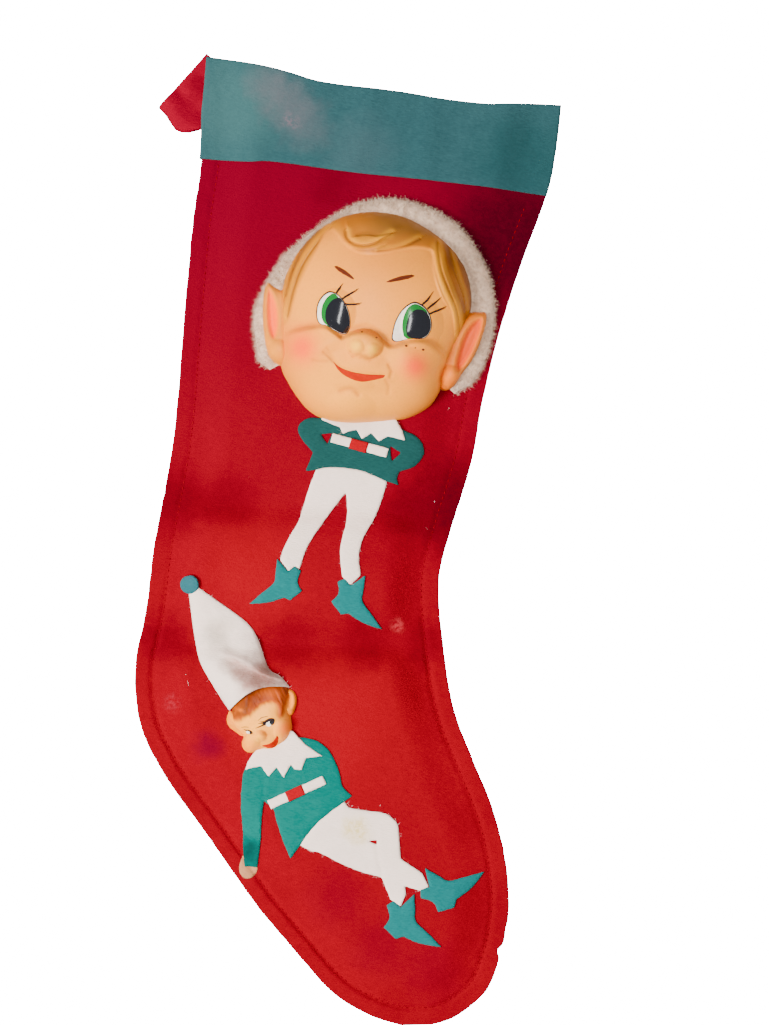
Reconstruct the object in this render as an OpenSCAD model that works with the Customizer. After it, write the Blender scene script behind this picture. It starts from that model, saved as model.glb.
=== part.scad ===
// Hanging felt stocking with two appliqued elves whose faces are moulded vinyl masks.
// Row frame: +Z up along the leg, +X towards the toe side, the decorated front faces -Y.
// The origin is the centre of the eye in the hanging loop, where a hook carries the stocking.
// Outlines are drawn on the flat panel in millimetres, from the cuff's top left corner.

/* [Felt] */
// Thickness of the red panels and of the cuff bands
panel_t = 1.5; // [1:0.1:1.8]
// Thickness of the glued felt pieces
felt_t = 1.0; // [0.6:0.1:1.4]
// How far the back panel bellies out from the front one
belly = 18; // [12:1:22]
// Width of the flat seam margin round the edge
seam_margin = 9; // [8:0.5:10]

/* [Stitching] */
// Distance from one stitch to the next
stitch_pitch = 6; // [4:0.5:8]
// Thread thickness
thread_d = 0.5; // [0.3:0.1:0.7]

/* [Hanging loop] */
// Width of the loop's felt strap
strap_w = 20; // [16:1:22]
// Thickness of the strap
strap_t = 1.2; // [0.8:0.1:1.4]
// Radius of the open eye at the fold
eye_r = 4; // [3:0.25:4.5]
// Distance from the tack to the eye's centre
strap_reach = 26; // [24:1:32]
// Direction of the strap at rest, anticlockwise from +X
strap_angle = 236; // [225:1:245]

/* [Masks] */
// Wall thickness of the moulded vinyl
vinyl_t = 1.6; // [1.2:0.1:2.5]
// Depth of the large mask without its nose
face_depth = 32; // [26:1:38]
// Depth of the small mask without its nose
small_face_depth = 12; // [9:1:15]
// Thickness of the plush hood trim
trim_t = 6; // [4:0.5:8]

/* [Hidden] */

red = "firebrick";
green = "teal";
white = "ivory";
skin = "peachpuff";
hairline = 0.1;        // clearance between pieces that are cut to butt
layer_gap = 0.05;      // clearance between curved layers
stitch_rise = 0.15;    // the back stitches ride over the start of the belly
belly_rise = 50;       // the belly grows over this distance inside the seam margin
rib_steps = 3;         // spline steps between two ribs
grid_columns = 16;     // cells across the panel in the bellied sheets

// ---------------------------------------------------------------- curves

function mix(a, b, t) = a + (b - a) * t;
function flip(list) = [for (i = [len(list) - 1 : -1 : 0]) list[i]];
function smooth(t) = let (c = min(max(t, 0), 1)) c * c * (3 - 2 * c);
function turned(p, a) = [p.x * cos(a) - p.y * sin(a), p.x * sin(a) + p.y * cos(a)];

// A Catmull-Rom point between b and c.
function spline_point(a, b, c, d, t) =
    0.5 * (2 * b + (c - a) * t + (2 * a - 5 * b + 4 * c - d) * t * t
           + (3 * b - a - 3 * c + d) * t * t * t);

// A smooth open curve through the points, ending on the last one.
function curve(p, steps = 4) = concat(
    [for (i = [0 : len(p) - 2], k = [0 : steps - 1])
        spline_point(p[max(i - 1, 0)], p[i], p[i + 1], p[min(i + 2, len(p) - 1)], k / steps)],
    [p[len(p) - 1]]);

// A smooth closed curve through the points.
function ring(p, steps = 4) =
    let (n = len(p))
    [for (i = [0 : n - 1], k = [0 : steps - 1])
        spline_point(p[(i + n - 1) % n], p[i], p[(i + 1) % n], p[(i + 2) % n], k / steps)];

function segment_distance(p, a, b) =
    let (ab = b - a, t = min(max((p - a) * ab / (ab * ab), 0), 1))
    norm(p - a - ab * t);

// ---------------------------------------------------------------- the panel's outline

// Each rib joins the heel side to the toe side, from the mouth down to the toe.
ribs = [
    [[0, 0], [180, 0.5]],
    [[3, -25], [180.5, -24]],
    [[6, -50], [179, -46]],
    [[6, -80], [171.5, -80]],
    [[7.5, -115], [165.5, -115]],
    [[9.5, -150], [162, -148]],
    [[11.5, -185], [160.5, -182]],
    [[11, -215], [155.5, -214]],
    [[9.5, -246], [152.5, -243]],
    [[10, -278], [159, -274.5]],
    [[8.5, -306], [168.5, -304.5]],
    [[15, -334.5], [181.5, -328.5]],
    [[31, -358.5], [194, -350]],
    [[55.5, -384.5], [203.5, -372]],
    [[83, -414], [209.5, -396]],
    [[96.5, -426.5], [210, -412]],
    [[101.5, -431], [209.7, -418]],
    [[106, -435], [209, -424]],
    [[128, -453.5], [204.5, -442.5]],
    [[148, -462.5], [191.5, -457]],
    [[165, -465.5], [180, -463]]];
cuff_ribs = 3;         // the first ribs that the cuff covers
nick_level = -421.5;   // a small nick in the cut edge at the toe
nick_depth = 2;
nick_width = 2.5;

heel_side = curve([for (r = ribs) r[0]], rib_steps);
toe_side = curve([for (r = ribs) r[1]], rib_steps);
rows = len(heel_side);
cuff_rows = (cuff_ribs - 1) * rib_steps + 1;
// The cut edge has the nick, and the seam runs past it.
cut_side = [for (p = toe_side) [p.x - nick_depth * exp(-pow((p.y - nick_level) / nick_width, 2)), p.y]];
panel_outline = concat(heel_side, flip(cut_side));
sewn_edge = concat(heel_side, flip(toe_side));

function edge_distance(p) =
    min([for (i = [0 : len(sewn_edge) - 2]) segment_distance(p, sewn_edge[i], sewn_edge[i + 1])]);
function belly_at(p) = belly * smooth((edge_distance(p) - seam_margin) / belly_rise);

// ---------------------------------------------------------------- placing

// The loop's tack, on the flat seam margin behind the cuff's top left corner.
tack = [6.2, -7.5];
strap_gap = 1.5;       // air between the back cuff and the strap
slot = 0.4;            // between the strap's two layers
back_cuff_y = 2 * panel_t + layer_gap;
strap_y = back_cuff_y + strap_gap;
strap_mid = strap_y + strap_t + slot / 2;
eye_y = back_cuff_y + 0.7 + strap_t + eye_r;
eye = tack + turned([strap_reach, 0], strap_angle);

// Moves from the panel's corner to the row frame. The front panel's back face is at y = 0.
module at_corner() translate([-eye.x, -eye_y, -eye.y]) children();

// A flat piece of felt whose back face stands out in front of the panel's plane.
module sheet_front(stand_off, thickness)
    at_corner() rotate([90, 0, 0]) translate([0, 0, stand_off])
        linear_extrude(thickness) children();

// A sheet between an inner and an outer grid of points, given row by row.
module grid_sheet(inner, outer) {
    n = len(inner);
    m = len(inner[0]);
    function at(layer, i, j) = layer * n * m + i * m + j;
    function quad(a, b, c, d) = [[a, b, c], [a, c, d]];
    points = concat([for (r = inner) each r], [for (r = outer) each r]);
    faces = concat(
        [for (i = [0 : n - 2], j = [0 : m - 2])
            each quad(at(0, i, j), at(0, i, j + 1), at(0, i + 1, j + 1), at(0, i + 1, j))],
        [for (i = [0 : n - 2], j = [0 : m - 2])
            each quad(at(1, i, j), at(1, i + 1, j), at(1, i + 1, j + 1), at(1, i, j + 1))],
        [for (i = [0 : n - 2])
            each quad(at(0, i, 0), at(0, i + 1, 0), at(1, i + 1, 0), at(1, i, 0))],
        [for (i = [0 : n - 2])
            each quad(at(0, i, m - 1), at(1, i, m - 1), at(1, i + 1, m - 1), at(0, i + 1, m - 1))],
        [for (j = [0 : m - 2])
            each quad(at(0, 0, j), at(1, 0, j), at(1, 0, j + 1), at(0, 0, j + 1))],
        [for (j = [0 : m - 2])
            each quad(at(0, n - 1, j), at(0, n - 1, j + 1), at(1, n - 1, j + 1), at(1, n - 1, j))]);
    polyhedron(points, faces, convexity = 6);
}

// Rows of panel points across the stocking, at a height above the belly's inner face.
function belly_grid(first, last, lift) =
    [for (i = [first : last])
        [for (j = [0 : grid_columns])
            let (p = mix(heel_side[i], cut_side[i], j / grid_columns))
            [p.x, belly_at(p) + lift, p.y]]];

// ---------------------------------------------------------------- the stocking

module front_panel() color(red) sheet_front(0, panel_t) polygon(panel_outline);

module back_panel()
    color(red) at_corner()
        grid_sheet(belly_grid(0, rows - 1, 0), belly_grid(0, rows - 1, panel_t));

// The cuff bands end on the panels' own edges.
module cuff_front()
    color(green) sheet_front(panel_t, panel_t)
        polygon(concat([for (i = [0 : cuff_rows - 1]) heel_side[i]],
                       [for (i = [cuff_rows - 1 : -1 : 0]) toe_side[i]]));

module cuff_back()
    color(green) at_corner()
        grid_sheet(belly_grid(0, cuff_rows - 1, panel_t + layer_gap),
                   belly_grid(0, cuff_rows - 1, 2 * panel_t + layer_gap));

// ---------------------------------------------------------------- stitching

// One visible length of thread from a to b, lying on a face.
module stitch(a, b)
    translate((a + b) / 2) rotate(atan2(b.y - a.y, b.x - a.x))
        square([norm(b - a) * 0.6, thread_d], center = true);

// Stitches of about stitch_pitch along a line of points.
module stitch_line(line)
    for (i = [0 : len(line) - 2]) {
        n = max(1, round(norm(line[i + 1] - line[i]) / stitch_pitch));
        for (k = [0 : n - 1])
            stitch(mix(line[i], line[i + 1], k / n), mix(line[i], line[i + 1], (k + 1) / n));
    }

// A line moved sideways by the inset, to the left of its direction.
function moved_in(line, inset) =
    [for (i = [1 : len(line) - 2])
        let (d = line[i + 1] - line[i - 1])
        line[i] + inset * [-d.y, d.x] / norm(d)];

module edge_stitching() {
    seam = moved_in(sewn_edge, seam_margin - 1);
    below_cuff = [for (p = seam) if (p.y < -51) p];
    color("crimson") {
        sheet_front(panel_t, thread_d) difference() {
            stitch_line(below_cuff);
            covered_seam();
        }
        sheet_front(-panel_t - stitch_rise - thread_d, thread_d) stitch_line(below_cuff);
    }
}

// Where a glued-on piece lies over the seam, so that no thread shows on the front.
module covered_seam() {
    translate([146, -156]) square([30, 76]);
    translate([65, -404]) square([30, 64]);
}

// ---------------------------------------------------------------- the hanging loop

// Section of the folded strap: two layers that run from the tail to a round eye.
module strap_section() {
    tail = 5;
    eye_outer = eye_r + strap_t;
    both = 2 * strap_t + slot;
    lean = atan2(eye_y - strap_mid, strap_reach - tail);
    neck = norm([strap_reach - tail, eye_y - strap_mid]);
    difference() {
        union() {
            translate([-tail, strap_mid - both / 2]) square([2 * tail + 0.3, both]);
            translate([tail, strap_mid]) rotate(lean) {
                translate([0, -both / 2]) square([neck, both]);
                translate([neck, 0]) circle(r = eye_outer, $fn = 64);
                // the layers part gradually towards the eye
                translate([neck, 0])
                    polygon([[-1.35 * eye_outer, 0], [0, 0.85 * eye_outer], [0, -0.85 * eye_outer]]);
            }
        }
        translate([-tail - 1, strap_mid - slot / 2]) square([2 * tail + 1.2, slot]);
        translate([tail, strap_mid]) rotate(lean)
            translate([0, -slot / 2]) square([neck - eye_outer, slot]);
        translate([tail, strap_mid]) rotate(lean)
            translate([neck, 0]) circle(r = eye_r, $fn = 64);
    }
}

tack_r = 1.5;          // shank of the thread tack
tack_fit = 0.05;       // running clearance round it

module hanging_loop()
    color(red) at_corner() translate([tack.x, 0, tack.y]) rotate([0, -strap_angle, 0])
        difference() {
            linear_extrude(strap_w, center = true) strap_section();
            rotate([-90, 0, 0]) cylinder(h = 20, r = tack_r + tack_fit, $fn = 48);
        }

// The bar tack that holds the strap: a shank with a flat knot behind.
module loop_tack()
    color("crimson") at_corner() translate([tack.x, back_cuff_y, tack.y])
        rotate([-90, 0, 0]) {
            translate([0, 0, 2 * layer_gap])
                cylinder(h = strap_gap + 2 * strap_t + slot + 0.4, r = tack_r, $fn = 48);
            translate([0, 0, strap_gap + 2 * strap_t + slot + 0.3])
                cylinder(h = 0.8, r = 3, $fn = 48);
        }

// ---------------------------------------------------------------- masks

// A hollow dome over a closed outline. Its rim lies at y = 0 and it bulges towards -Y.
// Each bump is [x, y, radius, height] and raises the wall, as for a nose or a cheek.
module dome_mask(outline, centre, depth, wall, bumps) {
    rings = 12;
    n = len(outline);
    function level(t, drop) =
        [for (p = outline)
            let (shrink = pow(cos(90 * t), 0.75),
                 q = centre + (p - centre) * shrink * (1 - drop / norm(p - centre)),
                 bump = [for (b = bumps) b[3] * exp(-pow(norm(q - [b[0], b[1]]) / b[2], 2))],
                 swell = len(bumps) > 0 ? bump * [for (b = bumps) 1] : 0)
            [q.x, -(depth - drop) * pow(sin(90 * t), 0.85) - swell * smooth(3 * t), q.y]];
    function shell(drop) = [for (k = [0 : rings - 1]) level(k / rings, drop)];
    function apex(drop) = [centre.x, level(0.999, drop)[0].y, centre.y];
    outer = shell(0);
    inner = shell(wall);
    function at(layer, k, i) = layer * rings * n + k * n + i % n;
    tip = [2 * rings * n, 2 * rings * n + 1];
    points = concat([for (r = outer) each r], [for (r = inner) each r], [apex(0), apex(wall)]);
    function band(layer, k, i) = [[at(layer, k, i), at(layer, k, i + 1), at(layer, k + 1, i + 1)],
                                  [at(layer, k, i), at(layer, k + 1, i + 1), at(layer, k + 1, i)]];
    faces = concat(
        [for (k = [0 : rings - 2], i = [0 : n - 1]) each band(0, k, i)],
        [for (k = [0 : rings - 2], i = [0 : n - 1], f = band(1, k, i)) flip(f)],
        [for (i = [0 : n - 1]) [at(0, rings - 1, i), at(0, rings - 1, i + 1), tip[0]]],
        [for (i = [0 : n - 1]) [at(1, rings - 1, i + 1), at(1, rings - 1, i), tip[1]]],
        [for (i = [0 : n - 1]) each [[at(0, 0, i), at(1, 0, i + 1), at(0, 0, i + 1)],
                                     [at(0, 0, i), at(1, 0, i), at(1, 0, i + 1)]]]);
    polyhedron(points, faces, convexity = 6);
}

// An ear plate of the same moulding, standing off the rim and rooted in the dome.
module ear(outline, stand_off, thickness)
    rotate([90, 0, 0]) translate([0, 0, stand_off]) linear_extrude(thickness) polygon(outline);

large_centre = [100, -118];
large_head = ring([
    [60, -149], [58, -138], [56.5, -122], [57, -104], [61.5, -89], [70, -77.5], [83, -68.5],
    [100, -65], [120, -67.5], [135, -76], [145, -88], [149.5, -104], [148, -122],
    [141.5, -138], [139, -150], [133, -160.5], [120, -167], [105, -171], [90, -171.8],
    [78, -168.5], [67, -160]], 2);
large_left_ear = ring([[61, -110], [54, -109], [47.5, -107], [46.3, -117], [48.5, -130],
                       [51.5, -142], [57, -147], [63, -146]], 2);
large_right_ear = ring([[143, -146], [147, -145], [150, -138], [155, -129], [158, -115],
                        [157.5, -107.3], [150, -107.5], [144, -112]], 2);

module large_face_mask() {
    ear_back = trim_t + 0.4;
    color(skin) at_corner() translate([0, -panel_t, 0]) {
        dome_mask(large_head, large_centre, face_depth, vinyl_t,
                  [[98, -132, 9, 10], [72, -140, 17, 5], [126, -140, 17, 5], [98, -158, 16, 3]]);
        difference() {
            union() {
                ear(large_left_ear, ear_back, 5);
                ear(large_right_ear, ear_back, 5);
            }
            // the ears stop inside the dome's wall
            ear([for (p = large_head) large_centre + (p - large_centre) * 0.93], 0, 20);
        }
    }
}

large_hood = curve([
    [62, -150], [52, -152.5], [47, -148], [44, -138], [41.8, -124], [44, -110], [49.5, -96.5],
    [59, -83], [72.5, -70], [85, -62], [97, -57.5], [110, -56.2], [124, -58.5], [140, -66],
    [151, -76], [159, -91], [163, -108], [162, -124], [157.5, -139], [152, -149], [146, -152],
    [137, -148]], 3);

module large_hood_trim()
    color(white) sheet_front(panel_t, trim_t)
        difference() {
            polygon(large_hood);
            polygon([for (p = large_head) p + (p - large_centre) * 0.012]);
        }

small_centre = [75.5, -324];
small_head = ring([
    [60, -317.5], [64.5, -312.8], [71, -309.6], [78, -307.6], [84.5, -309], [87.5, -314],
    [88.5, -320], [90.3, -327], [88.5, -333], [85, -337.3], [79.5, -338.8], [74.5, -340.8],
    [69.5, -341.5], [66.6, -338], [66.8, -333.5], [63, -331], [59.5, -326], [58.7, -321.5]], 1);

module small_face_mask()
    color(skin) at_corner() translate([0, -panel_t, 0]) {
        dome_mask(small_head, small_centre, small_face_depth, vinyl_t * 0.75,
                  [[77, -331, 3, 3], [71, -336.5, 4.5, 1.5], [86, -327, 4.5, 1.5]]);
        difference() {
            ear(ring([[84, -307], [88.5, -307.3], [91, -311.5], [90.3, -317.5], [86, -319.5]], 3),
                1.5, 2.5);
            ear([for (p = small_head) small_centre + (p - small_centre) * 0.9], 0, 6);
        }
    }

// ---------------------------------------------------------------- flat pieces of the large elf

large_hem = curve([[84.3, -196.6], [90, -194.6], [97, -193.8], [106, -193.8], [113, -195.4],
                   [120, -197.5]], 3);
large_jacket_outline = concat(
    curve([[84, -170.8], [78, -171], [73.5, -174.2], [72.6, -178.5], [75.5, -183], [81.5, -188.3]]),
    [[79, -197.8], [80.8, -197.8]],
    large_hem,
    [[126, -198.6], [124.8, -195], [125.6, -191.8]],
    curve([[125.6, -191.8], [132, -188.5], [136, -183], [135.6, -177.5], [131, -173], [124, -170.6]]));

module large_jacket()
    color(green) sheet_front(panel_t, felt_t)
        difference() {
            polygon(large_jacket_outline);
            polygon([[84.2, -178.8], [89.6, -177.5], [88, -183]]);
            polygon([[119.2, -180], [125, -182.4], [121, -187]]);
            // room under the large mask's chin
            polygon([for (p = large_head) p + (p - large_centre) * 0.012]);
        }

module large_collar()
    color(white) sheet_front(panel_t + felt_t, felt_t)
        difference() {
            polygon([[84, -168], [84, -172], [90, -173.3], [93, -174], [95, -177.1], [98, -175.4],
                     [101.3, -174], [104.8, -178.2], [109, -174.8], [113.3, -178.4],
                     [117.3, -175.2], [126.3, -176], [124.2, -171.5], [120.5, -166.7],
                     [118, -160]]);
            polygon([for (p = large_head) p + (p - large_centre) * 0.012]);
        }

// A belt of length l and width w centred on the origin.
module belt(l, w) square([l, w], center = true);

module large_belt()
    color(white) sheet_front(panel_t + felt_t, felt_t)
        translate([104, -181.6]) rotate(-7.5) belt(29, 4.7);

module large_buckle()
    color(red) sheet_front(panel_t + 2 * felt_t, felt_t)
        translate([103.6, -181.8]) rotate(-7.5) belt(9, 5.2);

module large_tights()
    color(white) sheet_front(panel_t, felt_t)
        difference() {
            translate([0, -hairline]) polygon(concat(
                curve([[84.3, -196.6], [82, -206], [80.3, -216], [79.2, -223], [75.5, -232],
                       [73.2, -240], [72.8, -243.6]]),
                [[77.8, -248.6], [80.6, -245.6], [83, -246.8]],
                curve([[83, -246.8], [84.6, -238], [86.6, -232], [92.5, -220], [100.2, -206]]),
                curve([[100.4, -206.2], [102, -212], [102.8, -220], [101.8, -229], [102, -237],
                       [104.6, -247.6]]),
                [[109.2, -251.1], [113.6, -245.6]],
                curve([[113.4, -245], [111.4, -236], [112.3, -227], [116.6, -216], [119, -206],
                       [120, -197.5]]),
                flip(large_hem)));
            shoe_room([77.8, -248.8], 0, 1, false);
            shoe_room([109.2, -251.4], 1, 1.06, true);
        }

// The shoe that all four share. Its origin is the notch at the ankle and its toe points to -X.
shoe_outline = concat(
    [[-6.6, 5.7], [0, 0], [2.8, 3], [6.2, 1.2]],
    curve([[6.2, 1.2], [5.2, -2.6], [5.6, -5.6], [8, -8.6]], 3),
    [[2.8, -14.1], [-0.7, -13.2]],
    curve([[-0.7, -13.2], [-6.5, -16.2], [-12, -17.8], [-17.4, -18.8]], 3),
    curve([[-17.4, -18.8], [-12.5, -13.2], [-6.6, -6.6], [-6.4, -2], [-6.6, 5.7]], 3));

// A shoe set down at its ankle notch, turned and scaled, with its toe to -X or, mirrored, to +X.
module shoe(notch, turn, size, mirrored)
    color(green) sheet_front(panel_t, felt_t)
        translate(notch + [0, -2 * hairline]) rotate(turn) scale(size)
            mirror([mirrored ? 1 : 0, 0]) polygon(shoe_outline);

// The tights are trimmed to the shoes, so that both lie flat on the panel.
module large_left_shoe() shoe([77.8, -248.8], 0, 1, false);
module large_right_shoe() shoe([109.2, -251.4], 1, 1.06, true);

// ---------------------------------------------------------------- flat pieces of the small elf

// The pointed hat: a felt sheet that bows out from tip to brim over the head.
hat_ribs = [
    [[31, -266.5], [34.5, -263.8]],
    [[33.2, -277], [47, -269.5]],
    [[36.6, -289], [60, -276.8]],
    [[41, -300], [67.5, -285.5]],
    [[48, -309.5], [73.5, -297]],
    [[55.5, -318.3], [81.5, -301.5]],
    [[58.6, -321.2], [86, -306.2]]];
hat_left = curve([for (r = hat_ribs) r[0]], 3);
hat_right = curve([for (r = hat_ribs) r[1]], 3);
hat_height = 13;       // how far the brim stands off the panel
hat_columns = 12;

function hat_grid(lift) =
    [for (i = [0 : len(hat_left) - 1])
        let (t = i / (len(hat_left) - 1))
        [for (j = [0 : hat_columns])
            let (u = j / hat_columns,
                 sag = 5 * t * t * t * sin(180 * u),
                 p = mix(hat_left[i], hat_right[i], u) + [-0.3, 1] * sag)
            [p.x, -(hat_height * smooth((t - 0.15) / 0.85) * pow(sin(180 * u), 0.8) + lift), p.y]]];

module small_hat()
    color(white) at_corner() translate([0, -panel_t, 0])
        grid_sheet(hat_grid(felt_t), hat_grid(0));

module small_hat_pompon()
    color(green) sheet_front(panel_t + felt_t + layer_gap, felt_t)
        translate([29.7, -262.1]) circle(r = 4.6, $fn = 48);

small_hem = curve([[121.2, -358.8], [115.5, -364.2], [110, -370.2], [105.5, -377], [102.5, -383.2]], 3);
small_jacket_outline = concat(
    curve([[90, -330], [97, -329.8], [105, -331], [111.5, -336], [116.5, -344], [119, -350.5],
           [120.4, -352.2]]),
    [[124.7, -355.2]],
    small_hem,
    [[98.5, -390.8]],
    curve([[98.5, -390.8], [93.5, -382], [89.5, -374], [87.2, -367.8]]),
    [[81.5, -363.8]],
    curve([[81.5, -363.8], [81.6, -372], [82.6, -384], [82.7, -397.5]]),
    [[76.2, -398]],
    curve([[76.2, -398], [74.5, -390], [73, -380], [70.4, -368], [69.4, -357], [70, -349], [73, -343]]));

module small_jacket()
    color(green) sheet_front(panel_t, felt_t)
        difference() {
            polygon(small_jacket_outline);
            polygon([for (p = small_head) p + (p - small_centre) * 0.03]);
        }

module small_collar()
    color(white) sheet_front(panel_t + felt_t, felt_t)
        difference() {
            polygon([[73, -343], [71.5, -346], [70, -349.8], [77.8, -346.8], [82.3, -351.3],
                     [85.4, -346.2], [89.7, -350.9], [92.3, -344], [98, -346], [99.2, -339.6],
                     [107.3, -337.6], [98, -333], [91, -327.3], [84, -326]]);
            polygon([for (p = small_head) p + (p - small_centre) * 0.03]);
        }

module small_belt()
    color(white) sheet_front(panel_t + felt_t, felt_t)
        translate([97.1, -357.3]) rotate(32.3) belt(30.4, 4.7);

module small_buckle()
    color(red) sheet_front(panel_t + 2 * felt_t, felt_t)
        translate([96.4, -357.8]) rotate(32.3) belt(9, 5.2);

// The hand shows below the sleeve and to its left.
module small_hand()
    color(skin) sheet_front(panel_t, felt_t)
        difference() {
            polygon(ring([[75.5, -390], [73.9, -396], [74.2, -401], [77.5, -403.7], [81.5, -402.2],
                          [83, -397.5], [80, -393]]));
            translate([-hairline, -hairline]) polygon(small_jacket_outline);
            polygon(small_jacket_outline);
        }

// Both legs crossed, with the small gap between them.
module small_tights()
    color(white) sheet_front(panel_t, felt_t)
        difference() {
            translate([hairline, -hairline]) polygon(concat(
                [[121.2, -358.8], [124, -361.3]],
                curve([[124, -361.3], [133, -361.6], [142, -361.6], [148.5, -365.4], [150.6, -372],
                       [153, -383]]),
                [[164.6, -388.5], [168.9, -394.8], [164.8, -397.4], [157, -396.3], [158.1, -400.2],
                 [156.3, -406.4], [151, -403.9]],
                curve([[151, -403.9], [148, -399], [145.5, -394.5], [143.5, -393.3], [136, -392.6],
                       [124, -389.6], [113, -385.7], [108, -385.2], [102.5, -383.2]]),
                flip(small_hem)));
            polygon([[136, -376.4], [140, -375.3], [140.2, -377.7]]);
            shoe_room([156.3, -406.8], 11, 1.12, true);
            shoe_room([169.2, -395], 70.5, 1.12, true);
        }

// The space that a shoe takes out of the leg it is glued beside.
module shoe_room(notch, turn, size, mirrored)
    translate(notch) rotate(turn) scale(size)
        mirror([mirrored ? 1 : 0, 0]) polygon(shoe_outline);

module small_front_shoe() shoe([156.3, -406.8], 11, 1.12, true);
module small_rear_shoe() shoe([169.2, -395], 70.5, 1.12, true);

// ---------------------------------------------------------------- nodes

front_panel();
back_panel();
edge_stitching();
cuff_front();
cuff_back();
hanging_loop();
loop_tack();
large_hood_trim();
large_face_mask();
large_collar();
large_jacket();
large_belt();
large_buckle();
large_tights();
large_left_shoe();
large_right_shoe();
small_hat();
small_hat_pompon();
small_face_mask();
small_collar();
small_jacket();
small_hand();
small_belt();
small_buckle();
small_tights();
small_front_shoe();
small_rear_shoe();
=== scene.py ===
import math

import bpy
import numpy as np
from mathutils import Matrix, Vector, geometry


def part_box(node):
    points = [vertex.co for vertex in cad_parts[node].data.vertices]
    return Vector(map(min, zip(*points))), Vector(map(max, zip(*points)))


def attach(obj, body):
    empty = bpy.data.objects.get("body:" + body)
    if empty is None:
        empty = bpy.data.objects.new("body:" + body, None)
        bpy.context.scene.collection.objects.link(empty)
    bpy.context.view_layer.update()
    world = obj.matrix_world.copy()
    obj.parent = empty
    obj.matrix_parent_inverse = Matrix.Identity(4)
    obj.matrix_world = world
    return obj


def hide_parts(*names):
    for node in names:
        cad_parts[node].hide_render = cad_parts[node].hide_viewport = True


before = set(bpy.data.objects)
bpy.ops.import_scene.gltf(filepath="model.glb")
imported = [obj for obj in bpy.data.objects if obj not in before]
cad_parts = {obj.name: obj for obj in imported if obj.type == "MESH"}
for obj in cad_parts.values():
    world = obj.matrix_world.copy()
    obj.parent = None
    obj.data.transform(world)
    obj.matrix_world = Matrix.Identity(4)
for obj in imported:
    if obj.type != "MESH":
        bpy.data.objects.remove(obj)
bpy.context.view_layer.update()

# Hanging felt stocking: looks for the frame in millimetres from the front panel's top left corner.
# x runs to the toe side, z up, and y is negative in front of the panels' joint plane.

VIEW_DISTANCE = 2.2        # metres from the camera to the panel
VIEW_CENTRE_MM = (121, -213)
PANEL_LOW, PANEL_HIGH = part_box("front_panel")
CORNER = np.array([PANEL_LOW[0], PANEL_HIGH[1], PANEL_HIGH[2] - 0.0005])
RANDOM = np.random.default_rng(11)
LATTICE_SIZE = 128
LATTICE = RANDOM.random((LATTICE_SIZE, LATTICE_SIZE)) * 2 - 1


def length_of(node, axis):
    """The size of a CAD node along an axis, in millimetres."""
    low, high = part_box(node)
    return (high[axis] - low[axis]) * 1000


PANEL_T = length_of("front_panel", 1)
FELT_T = length_of("large_jacket", 1)
TRIM_T = length_of("large_hood_trim", 1)
BELLY = length_of("back_panel", 1) - PANEL_T


# ---------------------------------------------------------------- curves and distances

def spline(points, steps=8, closed=False):
    """A Catmull-Rom curve through the points."""
    p = np.array(points, float)
    n = len(p)
    last = n if closed else n - 1
    t = (np.arange(steps) / steps)[:, None]
    out = []
    for i in range(last):
        if closed:
            a, b, c, d = p[i - 1], p[i], p[(i + 1) % n], p[(i + 2) % n]
        else:
            a, b, c, d = p[max(i - 1, 0)], p[i], p[i + 1], p[min(i + 2, n - 1)]
        out.append(0.5 * (2 * b + (c - a) * t + (2 * a - 5 * b + 4 * c - d) * t**2
                          + (3 * b - a - 3 * c + d) * t**3))
    if not closed:
        out.append(p[-1:])
    return np.vstack(out)


def joined(*parts):
    """One outline from curves and corner points."""
    return np.vstack([np.array(p, float).reshape(-1, 2) for p in parts])


def spaced(loop, step):
    """The closed loop with points at an even spacing."""
    line = np.vstack([loop, loop[:1]])
    run = np.concatenate([[0], np.cumsum(np.hypot(*np.diff(line, axis=0).T))])
    n = max(int(run[-1] / step), 8)
    s = np.linspace(0, run[-1], n, endpoint=False)
    return np.column_stack([np.interp(s, run, line[:, k]) for k in (0, 1)])


def smooth(t):
    t = np.clip(t, 0, 1)
    return t * t * (3 - 2 * t)


def bell(d, width):
    return np.exp(-(d / width) ** 2)


def side_of(x, z, line):
    """The distance to an open line, positive on the left of its direction."""
    line = np.array(line, float)
    best = np.full(np.shape(x), 1e9)
    for a, b in zip(line[:-1], line[1:]):
        ab = b - a
        t = np.clip(((x - a[0]) * ab[0] + (z - a[1]) * ab[1]) / max(ab @ ab, 1e-9), 0, 1)
        d = np.hypot(x - a[0] - ab[0] * t, z - a[1] - ab[1] * t)
        left = ab[0] * (z - a[1]) - ab[1] * (x - a[0])
        best = np.where(d < np.abs(best), np.where(left < 0, -d, d), best)
    return best


def to_line(x, z, line):
    """The distance from each point to an open line."""
    return np.abs(side_of(x, z, line))


def inside(x, z, loop):
    """True where a point lies in a closed loop."""
    result = np.zeros(np.shape(x), bool)
    for a, b in zip(loop, np.roll(loop, -1, axis=0)):
        crosses = (a[1] > z) != (b[1] > z)
        rise = b[1] - a[1] if b[1] != a[1] else 1e-9
        result ^= crosses & (x < a[0] + (z - a[1]) * (b[0] - a[0]) / rise)
    return result


def depth_in(x, z, loop):
    """The distance inside a closed loop, negative outside it."""
    loop = np.array(loop, float)
    d = to_line(x, z, np.vstack([loop, loop[:1]]))
    return np.where(inside(x, z, loop), d, -d)


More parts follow.
